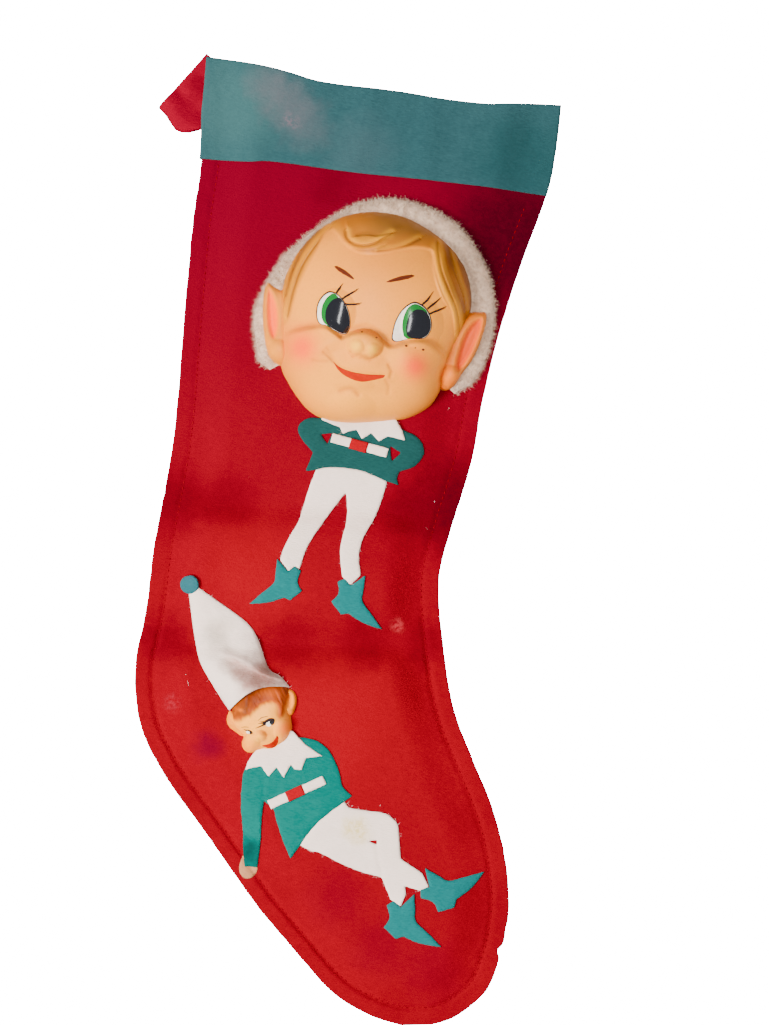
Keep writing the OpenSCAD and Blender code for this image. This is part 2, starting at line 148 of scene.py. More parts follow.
def noise(x, z, size, seed=0):
    """Smooth noise from -1 to 1 with features of about that size."""
    u = x / size + 17.3 * seed
    v = z / size + 9.7 * seed
    i = np.floor(u).astype(int)
    j = np.floor(v).astype(int)
    f = smooth(u - i)
    g = smooth(v - j)


    def at(a, b):
        return LATTICE[(i + a) % LATTICE_SIZE, (j + b) % LATTICE_SIZE]

    return (at(0, 0) * (1 - f) * (1 - g) + at(1, 0) * f * (1 - g)
            + at(0, 1) * (1 - f) * g + at(1, 1) * f * g)


# ---------------------------------------------------------------- the panel and its relief

RIBS = np.array([
    [[0, 0], [180, 0.5]], [[3, -25], [180.5, -24]], [[6, -50], [179, -46]],
    [[6, -80], [171.5, -80]], [[7.5, -115], [165.5, -115]], [[9.5, -150], [162, -148]],
    [[11.5, -185], [160.5, -182]], [[11, -215], [155.5, -214]], [[9.5, -246], [152.5, -243]],
    [[10, -278], [159, -274.5]], [[8.5, -306], [168.5, -304.5]], [[15, -334.5], [181.5, -328.5]],
    [[31, -358.5], [194, -350]], [[55.5, -384.5], [203.5, -372]], [[83, -414], [209.5, -396]],
    [[96.5, -426.5], [210, -412]], [[101.5, -431], [209.7, -418]], [[106, -435], [209, -424]],
    [[128, -453.5], [204.5, -442.5]], [[148, -462.5], [191.5, -457]], [[165, -465.5], [180, -463]]])
ROWS_PER_RIB = 14
HEEL_SIDE = spline(RIBS[:, 0], ROWS_PER_RIB)
TOE_SIDE = spline(RIBS[:, 1], ROWS_PER_RIB)
NICK_LEVEL, NICK_DEPTH, NICK_WIDTH = -421.5, 2, 2.5
# The cut edge has a small nick at the toe, and the seam runs past it.
CUT_SIDE = TOE_SIDE.copy()
CUT_SIDE[:, 0] -= NICK_DEPTH * bell(TOE_SIDE[:, 1] - NICK_LEVEL, NICK_WIDTH)
SEWN_EDGE = np.vstack([HEEL_SIDE[::4], TOE_SIDE[::-4]])
CUFF_ROWS = 2 * ROWS_PER_RIB + 1
SEAM_INSET = 8.5           # from the edge to the seam's groove
MARGIN = 9                 # the flat margin round the back's belly
BELLY_RISE = 50            # the belly grows over this distance

# Soft horizontal folds of the leg: level, width, height and how far the level drops per millimetre.
FOLDS = [(-250, 17, 3.6, 0.12), (-215, 9, -4.2, 0.09), (-284, 8, -4.8, 0.126), (-306, 15, 2.6, 0.12),
         (-176, 22, 1.6, 0.1), (-412, 13, -2.2, 0.3), (-90, 30, 1.2, 0.12)]

# The back has shallower ones: level and slope.
BACK_FOLDS = [(-222, 0.06), (-292, 0.12), (-118, -0.05)]


def edge_distance(x, z):
    return to_line(x, z, SEWN_EDGE)


def relief(x, z):
    """How far the front felt stands out of its plane. It droops away along the upper toe side."""
    rim = edge_distance(x, z)
    body = smooth((rim - SEAM_INSET) / 20)
    folds = sum(h * bell(z - level - slope * (x - 80), width) for level, width, h, slope in FOLDS)
    waves = 0.8 * noise(x, z, 47, 1) + 0.3 * noise(x, z, 17, 2)
    margin = 0.4 * noise(x, z, 15, 3) * (1 - body)
    gather = 0.22 * noise(x + z, x - z, 5, 4) * bell(rim - SEAM_INSET, 5)
    groove = (0.4 + 0.8 * smooth((-250 - z) / 50)) * (1 - 0.45 * smooth((x - 150) / 30))
    droop = 4 * smooth((x - 118) / 50) * smooth((z + 245) / 30) * smooth((-40 - z) / 30)
    return body * (3.2 + folds + waves - droop) + margin + gather - groove * bell(rim - SEAM_INSET, 1.3)


def belly(x, z):
    """How far the back felt stands behind the joint plane."""
    rim = edge_distance(x, z)
    full = smooth((rim - MARGIN) / BELLY_RISE)
    waves = 1.5 * noise(x, z, 58, 5) + 0.3 * noise(x, z, 19, 6)
    folds = sum(bell(z - level - slope * (x - 80), 15) for level, slope in BACK_FOLDS)
    margin = 0.3 * noise(x, z, 13, 3) * (1 - full)
    return BELLY * full * 0.97 + full * (waves - 1.7 * folds) - margin


MOUTH = spline([[-4, 0], [15, 0], [32, -0.8], [45, -2.4], [62, -4.8], [100, -4.4], [120, -5],
                [142, -4.4], [152, -3], [166, -1], [184, 0.6]], 8)


def mouth_dip(x, z):
    """How far the slack mouth hangs below a straight line, fading out below it."""
    return np.interp(x, MOUTH[:, 0], MOUTH[:, 1]) * smooth(1 + z / 26)


def panel_points(rows, columns, wobble=0.18):
    """A grid of panel points, with the slight unevenness of a cut by hand."""
    u = (1 - np.cos(np.linspace(0, math.pi, columns))) / 2
    u = 0.6 * np.linspace(0, 1, columns) + 0.4 * u
    a = HEEL_SIDE[rows][:, None, :]
    b = CUT_SIDE[rows][:, None, :]
    grid = a + (b - a) * u[None, :, None]
    grid[..., 0] += wobble * noise(grid[..., 0], grid[..., 1], 4, 8)
    grid[..., 0] += 1.3 * smooth(1 + grid[..., 1] / 30) * smooth(1 - grid[..., 0] / 30)
    grid[..., 1] += mouth_dip(grid[..., 0], grid[..., 1]) - 0.5 * smooth(1 + grid[..., 1] / 3)
    return grid


# ---------------------------------------------------------------- meshes

def placed(points):
    """Millimetres from the panel's corner to metres in the row frame."""
    return CORNER + np.asarray(points, float) / 1000


def drawn_in(points):
    """Moves raised points in, so that a relief lines up with its outline at picture distance."""
    points = np.array(points, float)
    near = -points[:, 1] / 1000 / VIEW_DISTANCE
    for axis, middle in ((0, VIEW_CENTRE_MM[0]), (2, VIEW_CENTRE_MM[1])):
        points[:, axis] += (middle - points[:, axis]) * near
    return points


def make(name, points, faces, materials, face_slots=None):
    """A mesh object with its points in millimetres from the corner."""
    data = bpy.data.meshes.new(name)
    data.from_pydata(placed(points).tolist(), [], [list(map(int, f)) for f in faces])
    data.validate()
    data.polygons.foreach_set("use_smooth", [True] * len(data.polygons))
    for material in materials:
        data.materials.append(material)
    if face_slots is not None:
        data.polygons.foreach_set("material_index", list(face_slots))
    obj = bpy.data.objects.new(name, data)
    bpy.context.scene.collection.objects.link(obj)
    return obj


def paint(obj, colours):
    """Stores one colour per point, in the attribute that the moulded vinyl reads."""
    layer = obj.data.color_attributes.new("paint", "FLOAT_COLOR", "POINT")
    rgba = np.ones((len(obj.data.vertices), 4), np.float32)
    rgba[:, :3] = colours
    layer.data.foreach_set("color", rgba.ravel())


def grid_faces(n, m, start=0, wrap=False):
    """Quads over n rows of m points."""
    faces = []
    for i in range(n - 1):
        for j in range(m if wrap else m - 1):
            k = (j + 1) % m
            faces.append((start + i * m + j, start + i * m + k,
                          start + (i + 1) * m + k, start + (i + 1) * m + j))
    return faces


def border(n, m):
    """The rows and columns along the edge of a grid, once round."""
    return ([(0, j) for j in range(m)] + [(i, m - 1) for i in range(1, n)]
            + [(n - 1, j) for j in range(m - 2, -1, -1)] + [(i, 0) for i in range(n - 2, 0, -1)])


def sheet_between(name, front, back, materials):
    """A closed felt sheet between two grids, with a rounded cut edge."""
    n, m = front.shape[:2]
    loop = border(n, m)
    middle = front.mean(axis=(0, 1))
    ring = []
    for i, j in loop:
        p = (front[i, j] + back[i, j]) / 2
        out = p - middle
        out[1] = 0
        ring.append(p + 0.25 * out / max(np.linalg.norm(out), 1e-6))
    points = np.vstack([front.reshape(-1, 3), back.reshape(-1, 3), ring])
    total = n * m
    faces = grid_faces(n, m)
    faces += [tuple(reversed(f)) for f in grid_faces(n, m, total)]
    size = len(loop)
    for k in range(size):
        a = loop[k][0] * m + loop[k][1]
        b = loop[(k + 1) % size][0] * m + loop[(k + 1) % size][1]
        ra = 2 * total + k
        rb = 2 * total + (k + 1) % size
        faces.append((a, ra, rb, b))
        faces.append((ra, total + a, total + b, rb))
    return make(name, points, faces, materials)


def triangles_in(loop, holes, step):
    """Points and triangles that fill a loop: its own points first, then an inner ring and a grid."""
    loops = [spaced(loop, step * 0.7)] + [spaced(np.array(h, float), step * 0.7) for h in holes]
    low = loops[0].min(axis=0)
    high = loops[0].max(axis=0)
    gx, gz = np.meshgrid(np.arange(low[0], high[0], step), np.arange(low[1], high[1], step * 0.87))
    gx = gx + (np.arange(gx.shape[0]) % 2)[:, None] * step / 2
    inner = np.column_stack([gx.ravel(), gz.ravel()])
    rings = []
    for one in loops:
        along = np.roll(one, -1, axis=0) - np.roll(one, 1, axis=0)
        out = np.column_stack([along[:, 1], -along[:, 0]])
        out /= np.linalg.norm(out, axis=1)[:, None] + 1e-9
        rings += [one + 0.4 * out, one - 0.4 * out]
    rings = np.vstack(rings)

    def clear(points, gap):
        d = depth_in(points[:, 0], points[:, 1], loops[0])
        for hole in loops[1:]:
            d = np.minimum(d, -depth_in(points[:, 0], points[:, 1], hole))
        return points[d > gap]

    parts = loops + [clear(rings, 0.33), clear(inner, 0.75)]
    points = np.vstack(parts)
    edges = []
    start = 0
    for one in loops:
        n = len(one)
        edges += [(start + k, start + (k + 1) % n) for k in range(n)]
        start += n
    result = geometry.delaunay_2d_cdt([Vector(p) for p in points], edges, [], 0, 1e-5)
    flat = np.array([tuple(v) for v in result[0]])
    tri = np.array([f for f in result[2] if len(f) == 3])
    mid = flat[tri].mean(axis=1)
    keep = inside(mid[:, 0], mid[:, 1], loops[0])
    for hole in loops[1:]:
        keep &= ~inside(mid[:, 0], mid[:, 1], hole)
    tri = tri[keep]
    a, b, c = flat[tri[:, 0]], flat[tri[:, 1]], flat[tri[:, 2]]
    turn = (b[:, 0] - a[:, 0]) * (c[:, 1] - a[:, 1]) - (b[:, 1] - a[:, 1]) * (c[:, 0] - a[:, 0])
    tri[turn < 0] = tri[turn < 0][:, ::-1]
    return flat, tri, loops


def rim_of(tri):
    """The directed border edges of a set of triangles."""
    edges = {(int(a), int(b)) for t in tri for a, b in ((t[0], t[1]), (t[1], t[2]), (t[2], t[0]))}
    return [(a, b) for a, b in edges if (b, a) not in edges]


def solid_from(name, flat, tri, front_y, back_y, materials):
    """A closed thin solid over flat triangles, between two heights in y."""
    n = len(flat)
    points = np.vstack([np.column_stack([flat[:, 0], front_y, flat[:, 1]]),
                        np.column_stack([flat[:, 0], back_y, flat[:, 1]])])
    faces = [tuple(t) for t in tri] + [tuple(t[::-1] + n) for t in tri]
    faces += [(b, a, a + n, b + n) for a, b in rim_of(tri)]
    return make(name, points, faces, materials)


def best_rectangle(loop):
    """The sides of the smallest rectangle round a loop, and the loop's area, in metres."""
    best = None
    for degree in range(0, 90, 2):
        c, s = math.cos(math.radians(degree)), math.sin(math.radians(degree))
        turned = loop @ np.array([[c, -s], [s, c]])
        size = turned.max(axis=0) - turned.min(axis=0)
        if best is None or size[0] * size[1] < best[0] * best[1]:
            best = size
    x, z = loop[:, 0], loop[:, 1]
    area = abs(np.sum(x * np.roll(z, -1) - z * np.roll(x, -1))) / 2
    return (best[0] / 1000, best[1] / 1000), area / 1e6


def finish_piece(obj, node, body="stocking"):
    """Rides the piece on its body, in place of its CAD node."""
    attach(obj, body)
    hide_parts(node)


def felt_piece(node, loop, material, layer=0, holes=(), thickness=None, step=1.3, sheet=True,
               creases=()):
    """A cut felt shape glued to the panel, or to another felt shape at a higher layer.

    Each crease is (line, depth, width).
    """
    thickness = thickness or FELT_T
    flat, tri, loops = triangles_in(np.array(loop, float), holes, step)
    x, z = flat.T
    x = x + 0.12 * noise(x, z, 1.6, 9)
    z = z + 0.12 * noise(z, x, 1.6, 10)
    d = depth_in(x, z, loops[0])
    for hole in loops[1:]:
        d = np.minimum(d, -depth_in(x, z, hole))
    lift = PANEL_T + relief(x, z) + layer * FELT_T
    round_edge = 0.5 + 0.5 * smooth(d / 0.5)
    crown = 0.12 * noise(x, z, 6, 12) + 0.1 * smooth(d / 3)
    for line, depth, width in creases:
        crown = crown - depth * bell(to_line(x, z, line), width)
    front = -(lift + thickness * round_edge + crown)
    obj = solid_from(node + "_felt", np.column_stack([x, z]), tri, front, -(lift - 0.25), [material])
    finish_piece(obj, node)
    if sheet:
        flat_size, area = best_rectangle(loops[0])
        for hole in loops[1:]:
            area -= best_rectangle(hole)[1]
    return obj


# ---------------------------------------------------------------- materials

def srgb(r, g, b):
    """A linear colour from 8-bit values."""
    return tuple(((c / 255 + 0.055) / 1.055) ** 2.4 if c > 10 else c / 255 / 12.92 for c in (r, g, b))


def pigment(r, g, b):
    """The base colour that shows as this 8-bit colour under the scene's bright, soft light."""
    colour = np.array(srgb(r, g, b))
    top = colour.max()
    level = min(0.95, 0.5 * top + 0.75 * top**3)
    power = 1 + level * np.array([1.3, 1.3, 3.5])
    return tuple(level * (colour / top) ** power)


def dress(tree, shader, looks):
    """Links each output to its socket, and sets each number or colour on the socket itself."""
    for socket, value in looks.items():
        if isinstance(value, bpy.types.NodeSocket):
            tree.links.new(value, shader.inputs[socket])
        else:
            shader.inputs[socket].default_value = value


def node(tree, kind, inputs=(), **settings):
    """Adds a shader node. Inputs are (socket, value or output) pairs."""
    made = tree.nodes.new("ShaderNode" + kind)
    for key, value in settings.items():
        setattr(made, key, value)
    dress(tree, made, dict(inputs))
    return made


def maths(tree, operation, a, b):
    return node(tree, "Math", [(0, a), (1, b)], operation=operation).outputs[0]


def vectors(tree, operation, a, b, output="Vector"):
    return node(tree, "VectorMath", [(0, a), (1, b)], operation=operation).outputs[output]


def new_material(name):
    material = bpy.data.materials.new(name)
    material.use_nodes = True
    tree = material.node_tree
    shader = tree.nodes["Principled BSDF"]
    place = node(tree, "TexCoord").outputs["Object"]
    return material, tree, shader, place


def mixed(tree, factor, a, b):
    made = node(tree, "Mix", data_type="RGBA")
    for socket, value in ((0, factor), (6, a), (7, b)):
        plain_colour = socket and not isinstance(value, bpy.types.NodeSocket)
        dress(tree, made, {socket: (*value, 1) if plain_colour else value})
    return made.outputs[2]


def ranged(tree, value, low, high, to_low=0.0, to_high=1.0):
    return node(tree, "MapRange", [(0, value), (1, low), (2, high), (3, to_low), (4, to_high)],
                interpolation_type="SMOOTHSTEP").outputs[0]


def speckle(tree, place, scale, detail=2, rough=0.5):
    return node(tree, "TexNoise", [("Vector", place), ("Scale", scale), ("Detail", detail),
                                   ("Roughness", rough)]).outputs["Fac"]


def bumped(tree, height, strength, distance):
    return node(tree, "Bump", [("Height", height), ("Strength", strength), ("Distance", distance)]).outputs[0]


def fibres(tree, place, angle):
    """Noise drawn out along one direction, for the matted hairs of felt."""
    turned = node(tree, "Mapping", [("Vector", place), ("Rotation", (0, math.radians(angle), 0)),
                                    ("Scale", (420, 900, 1500))]).outputs[0]
    return speckle(tree, turned, 1.0, 2)


EVEN_FROM = 10             # the radius of the smallest even mark


def felt(name, light, dark, marks=(), fade=None):
    """Matted felt: hairs in three directions, mottling, faint stains, painted shade and painted light, and a
    soft sheen.

    Each mark is (x, z, radius, colour, strength), in millimetres from the corner. Some marks are
    stains, others painted shade, others painted light. Small marks are crumbly and large ones even.
    A fade is (colour, start, end, amount): painted shade that darkens the felt towards that colour
    from the start height up to the end height.
    """
    material, tree, shader, place = new_material(name)
    middle = tuple((a + b) / 2 for a, b in zip(light, dark))
    hairs = [ranged(tree, fibres(tree, place, a), 0.35, 0.7) for a in (20, 80, 140)]
    total = maths(tree, "ADD", maths(tree, "ADD", hairs[0], hairs[1]), hairs[2])
    pile = maths(tree, "MULTIPLY", total, 0.333)
    cloud = ranged(tree, speckle(tree, place, 26, 3), 0.3, 0.72)
    patch = ranged(tree, speckle(tree, place, 210, 3, 0.6), 0.28, 0.75)
    colour = mixed(tree, pile, dark, light)
    colour = mixed(tree, 0.45, colour, middle)
    colour = mixed(tree, maths(tree, "MULTIPLY", patch, 0.3), colour, light)
    colour = mixed(tree, maths(tree, "MULTIPLY", cloud, 0.3), colour, dark)
    # Painted shade: the fade darkens the felt towards its colour from the start height upwards.
    if fade:
        shade_colour, start, end, amount = fade
        height = node(tree, "SeparateXYZ", [(0, place)]).outputs[2]
        top = ranged(tree, height, placed([0, 0, start])[2], placed([0, 0, end])[2], 0, amount)
        colour = mixed(tree, top, colour, shade_colour)
    for x, z, radius, mark_colour, strength in marks:
        wobble = node(tree, "TexNoise", [("Vector", place), ("Scale", 120.0), ("Detail", 3.0)])
        shifted = vectors(tree, "SUBTRACT", wobble.outputs["Color"], (0.5, 0.5, 0.5))
        scaled = node(tree, "VectorMath", [(0, shifted), ("Scale", min(radius, 14) / 900)],
                      operation="SCALE").outputs[0]
        flat_place = vectors(tree, "MULTIPLY", vectors(tree, "ADD", place, scaled), (1, 0, 1))
        spot = placed([x, 0, z])
        away = vectors(tree, "DISTANCE", flat_place, (spot[0], 0, spot[2]), "Value")
        near = ranged(tree, away, radius / 1000, radius / 6000, 0, strength)
        even = 0.0 if radius < EVEN_FROM else 0.85
        crumbs = ranged(tree, speckle(tree, place, 520, 4, 0.7), 0.4, 0.62, even, 1)
        colour = mixed(tree, maths(tree, "MULTIPLY", near, crumbs), colour, mark_colour)
    height = maths(tree, "ADD", pile, speckle(tree, place, 5200, 2))
    dress(tree, shader, {
        "Base Color": colour, "Normal": bumped(tree, height, 0.75, 0.00022), "Roughness": 0.95,
        "Specular IOR Level": 0.0, "Sheen Weight": 0.3, "Sheen Roughness": 0.5,
        "Sheen Tint": (*[min(1, 1.4 * c) for c in light], 1)})
    return material


def vinyl(name):
    """Soft moulded vinyl that takes its colours from the sprayed and brushed paint; that paint also carries
    painted shade and painted highlights.
    """
    material, tree, shader, place = new_material(name)
    sprayed = node(tree, "Attribute", attribute_name="paint").outputs["Color"]
    dust = ranged(tree, speckle(tree, place, 900, 4, 0.65), 0.42, 0.72, 0, 0.10)
    cloud = ranged(tree, speckle(tree, place, 60, 3), 0.35, 0.7, 0, 0.09)
    colour = mixed(tree, dust, sprayed, srgb(120, 62, 26))
    dress(tree, shader, {
        "Base Color": mixed(tree, cloud, colour, srgb(240, 150, 40)),
        "Roughness": ranged(tree, speckle(tree, place, 45, 4), 0.3, 0.7, 0.36, 0.5),
        "Normal": bumped(tree, speckle(tree, place, 1500, 2), 0.25, 0.00008),
        "Subsurface Weight": 0.12, "Subsurface Radius": (0.9, 0.45, 0.25),
        "Subsurface Scale": 0.003, "Specular IOR Level": 0.26})
    return material


def enamel(name, colour, roughness=0.25, shine=0.25):
    """Brushed-on paint, glossy where it is thick."""
    material, tree, shader, place = new_material(name)
    streak = ranged(tree, speckle(tree, place, 700, 3), 0.3, 0.75, 0, 0.5)
    thin = tuple(min(1.0, 1.3 * c + 0.001) for c in colour)
    dress(tree, shader, {
        "Base Color": mixed(tree, streak, colour, thin),
        "Roughness": ranged(tree, speckle(tree, place, 300, 2), 0.3, 0.7, roughness * 0.95, roughness * 1.05),
        "Specular IOR Level": shine})
    return material


RED_LIGHT, RED_DARK = srgb(134, 0, 18), srgb(103, 0, 13)
# Marks on the front felt. The dark ones that follow the fold hollows, from (14, -222) to (160, -206) and from
# (20, -291) to (148, -276), and the wide one at (167, -70) where the upper toe side droops away, are painted
# shade. The two large light ones at (60, -250) and (105, -325) are painted light on the fold ridges. The
# three at the toe make it darker and more crimson, (72, -56) darkens the felt just under the cuff, and the
# rest are spots on the felt.
MARKS = [
    (134.6, -268, 5, srgb(190, 56, 62), 0.5), (51.5, -339.5, 10, srgb(82, 2, 30), 0.55),
    (46.5, -341.5, 10, srgb(82, 2, 30), 0.3),
    (29, -322, 6, srgb(150, 40, 52), 0.4), (124, -406, 22, srgb(88, 0, 22), 0.36),
    (148, -428, 22, srgb(88, 0, 22), 0.36), (176, -436, 22, srgb(88, 0, 22), 0.32),
    (72, -56, 17, srgb(80, 0, 14), 0.5), (167, -70, 60, srgb(48, 0, 12), 0.9),
    (160, -206, 40, srgb(62, 0, 12), 0.85), (132, -212, 22, srgb(78, 0, 12), 0.6),
    (14, -222, 26, srgb(78, 0, 12), 0.7), (44, -219, 22, srgb(78, 0, 12), 0.55),
    (20, -291, 20, srgb(78, 0, 12), 0.6), (86, -283, 24, srgb(78, 0, 12), 0.5),
    (118, -279, 22, srgb(78, 0, 12), 0.6), (148, -276, 18, srgb(78, 0, 12), 0.5),
    (60, -250, 40, srgb(150, 2, 18), 0.4), (105, -325, 60, srgb(150, 2, 18), 0.4)]
# Painted shade: the red felt, front and back, darkens towards the top.
TOP_SHADE = (srgb(94, 0, 24), -300, -10, 0.9)
RED_FELT = felt("red_felt", RED_LIGHT, RED_DARK, MARKS, TOP_SHADE)
RED_BACK = felt("red_felt_back", RED_LIGHT, RED_DARK, (), TOP_SHADE)
# The strap's mark is painted shade where the strap meets the cuff.
STRAP_FELT = felt("strap_felt", srgb(142, 2, 32), srgb(106, 1, 24), [(-0.5, -14, 11, srgb(78, 2, 14), 0.55)])
# On the cuff, the wide light mark at the left end (18, -22) is painted light and the dark one at the right
# end (166, -30) is painted shade. The grey and pink marks from (34, -9) to (55, -27) are a stain.
TEAL_FELT = felt("teal_felt", srgb(48, 80, 82), srgb(28, 56, 60),
                 [(18, -22, 40, srgb(60, 92, 90), 0.5), (34, -9, 17, srgb(86, 84, 88), 0.45),
                  (44, -18, 19, srgb(84, 82, 86), 0.5), (55, -27, 19, srgb(80, 80, 84), 0.42),
                  (48, -26, 6, srgb(104, 84, 92), 0.5), (84, -36, 26, srgb(56, 74, 78), 0.4),
                  (166, -30, 36, srgb(20, 56, 57), 0.6)])
GREEN_FELT = felt("green_felt", srgb(32, 74, 70), srgb(16, 52, 50))
# The two marks by the sleeve's wrist are a painted shadow of the fold that crosses the sleeve.
BRIGHT_FELT = felt("bright_green_felt", srgb(10, 104, 94), srgb(4, 79, 71),
                  [(76, -390, 10, srgb(2, 32, 30), 0.6), (80, -392.6, 10, srgb(2, 32, 30), 0.4)])
SHOE_FELT = felt("shoe_felt", srgb(28, 104, 102), srgb(13, 80, 79))
POMPON_FELT = felt("pompon_felt", srgb(46, 94, 100), srgb(31, 76, 82))
# On the white felt: the two yellow marks at (129, -372) are a stain. The mark at (48, -286.5) is painted
# shade in the hat's dent, and those from (58, -298.6) to (74, -303), with (72, -304), are painted shade under
# the hat's fold. The mark at (96, -170) greys the collar just under the chin.
WHITE_FELT = felt("white_felt", srgb(244, 220, 205), srgb(222, 196, 180),
                  [(129, -372, 9, srgb(196, 166, 92), 0.9), (129, -372, 10, srgb(216, 192, 134), 0.6),
                   (48, -286.5, 13, srgb(150, 136, 120), 0.55),
                   (72, -304, 17, srgb(150, 100, 86), 0.8), (58, -298.6, 10, srgb(148, 104, 92), 0.6),
                   (65, -301.2, 11, srgb(142, 96, 84), 0.75), (74, -303, 10, srgb(120, 70, 58), 0.7),
                   (96, -170, 22, srgb(206, 180, 168), 0.5)])
TEAL_BACK = felt("teal_felt_back", srgb(46, 80, 82), srgb(28, 56, 60))
BUCKLE_FELT = felt("buckle_felt", srgb(160, 6, 22), srgb(124, 2, 16))
HAND_FELT = felt("hand_felt", srgb(180, 126, 88), srgb(156, 103, 70))
VINYL = vinyl("moulded_vinyl")
EYE_WHITE = enamel("eye_white", srgb(222, 208, 188), 0.3, 0.3)
EYE_GREEN = enamel("eye_green", pigment(14, 128, 60), 0.2, 0.5)
EYE_BLACK = enamel("eye_black", srgb(13, 14, 20), 0.15, 0.55)
EYE_LINE = enamel("eye_line", srgb(38, 28, 30), 0.3)
BROW_BROWN = enamel("brow_brown", pigment(118, 52, 32), 0.4)
LASH_BLACK = enamel("lash_black", srgb(34, 18, 16), 0.35)
LIP_RED = enamel("lip_red", srgb(162, 28, 0), 0.5, 0.0)
FRECKLE = enamel("freckle", pigment(104, 56, 38), 0.45)


def thread(name, colour):
    material, tree, shader, place = new_material(name)
    twist = ranged(tree, fibres(tree, place, 45), 0.35, 0.65)
    dress(tree, shader, {"Base Color": mixed(tree, twist, tuple(0.6 * c for c in colour), colour),
                         "Roughness": 0.8, "Specular IOR Level": 0.05})
    return material


def plush(name):
    """Cream pile, darker where the tufts part."""
    material, tree, shader, place = new_material(name)
    tufts = ranged(tree, speckle(tree, place, 650, 3), 0.3, 0.66)
    cloud = ranged(tree, speckle(tree, place, 60, 2), 0.3, 0.75, 0, 0.4)
    colour = mixed(tree, tufts, srgb(188, 158, 132), srgb(222, 194, 168))
    dress(tree, shader, {
        "Base Color": mixed(tree, cloud, colour, srgb(202, 170, 142)),
        "Normal": bumped(tree, speckle(tree, place, 1500, 2), 0.6, 0.0003),
        "Roughness": 0.9, "Sheen Weight": 0.5, "Sheen Roughness": 0.4, "Specular IOR Level": 0.2})
    return material


PLUSH = plush("plush_pile")
RED_THREAD = thread("red_thread", srgb(124, 0, 15))


# ---------------------------------------------------------------- camera, lights and stage

def aim(obj, place, target, up):
    """Puts an object at a place, looking at a target with a given up direction."""
    back = (Vector(place) - Vector(target)).normalized()
    right = Vector(up).cross(back).normalized()
    turn = Matrix([right, back.cross(right), back]).transposed()
    obj.matrix_world = Matrix.Translation(Vector(place)) @ turn.to_4x4()


VIEW_CENTRE = Vector(placed([VIEW_CENTRE_MM[0], 0, VIEW_CENTRE_MM[1]]))
VIEW_HEIGHT = 0.5125       # metres of the panel's plane in the picture's height
LEAN = math.radians(8)     # the stocking hangs askew in the picture
SENSOR_HEIGHT = 24         # millimetres
BACKDROP_GLOW = 30.0       # what the camera sees behind the stocking
WORLD_GLOW = 0.5           # what lights it from all round
FLOOR_LEVEL = -0.9         # metres


def build_camera():
    data = bpy.data.cameras.new("camera")
    data.sensor_fit = "VERTICAL"
    data.sensor_height = SENSOR_HEIGHT
    data.lens = SENSOR_HEIGHT * VIEW_DISTANCE / VIEW_HEIGHT
    data.clip_start = 0.05
    camera = bpy.data.objects.new("camera", data)
    bpy.context.scene.collection.objects.link(camera)
    aim(camera, VIEW_CENTRE + Vector((0, -VIEW_DISTANCE, 0)), VIEW_CENTRE,
        (-math.sin(LEAN), 0, math.cos(LEAN)))
    bpy.context.scene.camera = camera


def add_light(name, offset, size, power, glossy=True):
    data = bpy.data.lights.new(name, "AREA")
    data.shape = "RECTANGLE"
    data.size, data.size_y = size
    data.energy = power
    light = bpy.data.objects.new(name, data)
    bpy.context.scene.collection.objects.link(light)
    light.visible_glossy = glossy
    aim(light, VIEW_CENTRE + Vector(offset), VIEW_CENTRE, (0, 0, 1))


def build_lights():
    add_light("key", (-0.95, -1.2, -0.55), (0.6, 0.6), 96, glossy=False)
    add_light("window", (-0.2, -2.0, 0.1), (0.24, 1.7), 34)
    add_light("back", (0.7, 1.7, 0.6), (1.2, 1.2), 130, glossy=False)
    add_light("side", (1.9, 0.5, 0.2), (0.8, 1.4), 34, glossy=False)
    world = bpy.data.worlds.new("studio")
    world.use_nodes = True
    tree = world.node_tree
    tree.nodes["Background"].inputs[0].default_value = (1, 1, 1, 1)
    seen = node(tree, "LightPath").outputs["Is Camera Ray"]
    strength = node(tree, "MapRange", [(0, seen), (3, WORLD_GLOW), (4, BACKDROP_GLOW)]).outputs[0]
    tree.links.new(strength, tree.nodes["Background"].inputs[1])
    bpy.context.scene.world = world


def build_stage():
    """A bright white floor well below the hanging stocking. It lights nothing itself."""
    material, tree, shader, place = new_material("floor")
    tone = ranged(tree, speckle(tree, place, 3, 2), 0.3, 0.7)
    dress(tree, shader, {"Base Color": mixed(tree, tone, srgb(250, 250, 249), srgb(254, 254, 253)),
                         "Roughness": 0.9, "Emission Color": (1, 1, 1, 1),
                         "Emission Strength": BACKDROP_GLOW})
    x, y = np.meshgrid(np.linspace(-3, 3, 25), np.linspace(-3, 3, 25), indexing="ij")
    points = np.stack([x, y, np.full_like(x, FLOOR_LEVEL)], axis=-1).reshape(-1, 3)
    data = bpy.data.meshes.new("floor")
    data.from_pydata(points.tolist(), [], grid_faces(25, 25))
    data.materials.append(material)
    obj = bpy.data.objects.new("floor", data)
    bpy.context.scene.collection.objects.link(obj)
    obj.visible_diffuse = False
    obj.visible_glossy = False


# ---------------------------------------------------------------- the stocking

def hang(obj, node_name, rests_on, rows=slice(None)):
    """Puts a hanging sheet, cut to the panel's outline over those rows, on its body in place of its CAD node.
    """
    finish_piece(obj, node_name)
    size, area = best_rectangle(np.vstack([HEEL_SIDE[rows], TOE_SIDE[rows][::-1]]))


def build_front_panel():
    grid = panel_points(np.arange(len(HEEL_SIDE)), 110)
    x, z = grid[..., 0], grid[..., 1]
    out = relief(x, z)
    front = np.stack([x, -(PANEL_T + out), z], axis=-1)
    back = np.stack([x, -np.maximum(out, 0) * 0.9 - 0.02, z], axis=-1)
    obj = sheet_between("front_panel_felt", front, back, [RED_FELT])
    hang(obj, "front_panel", "hanging_loop_felt")


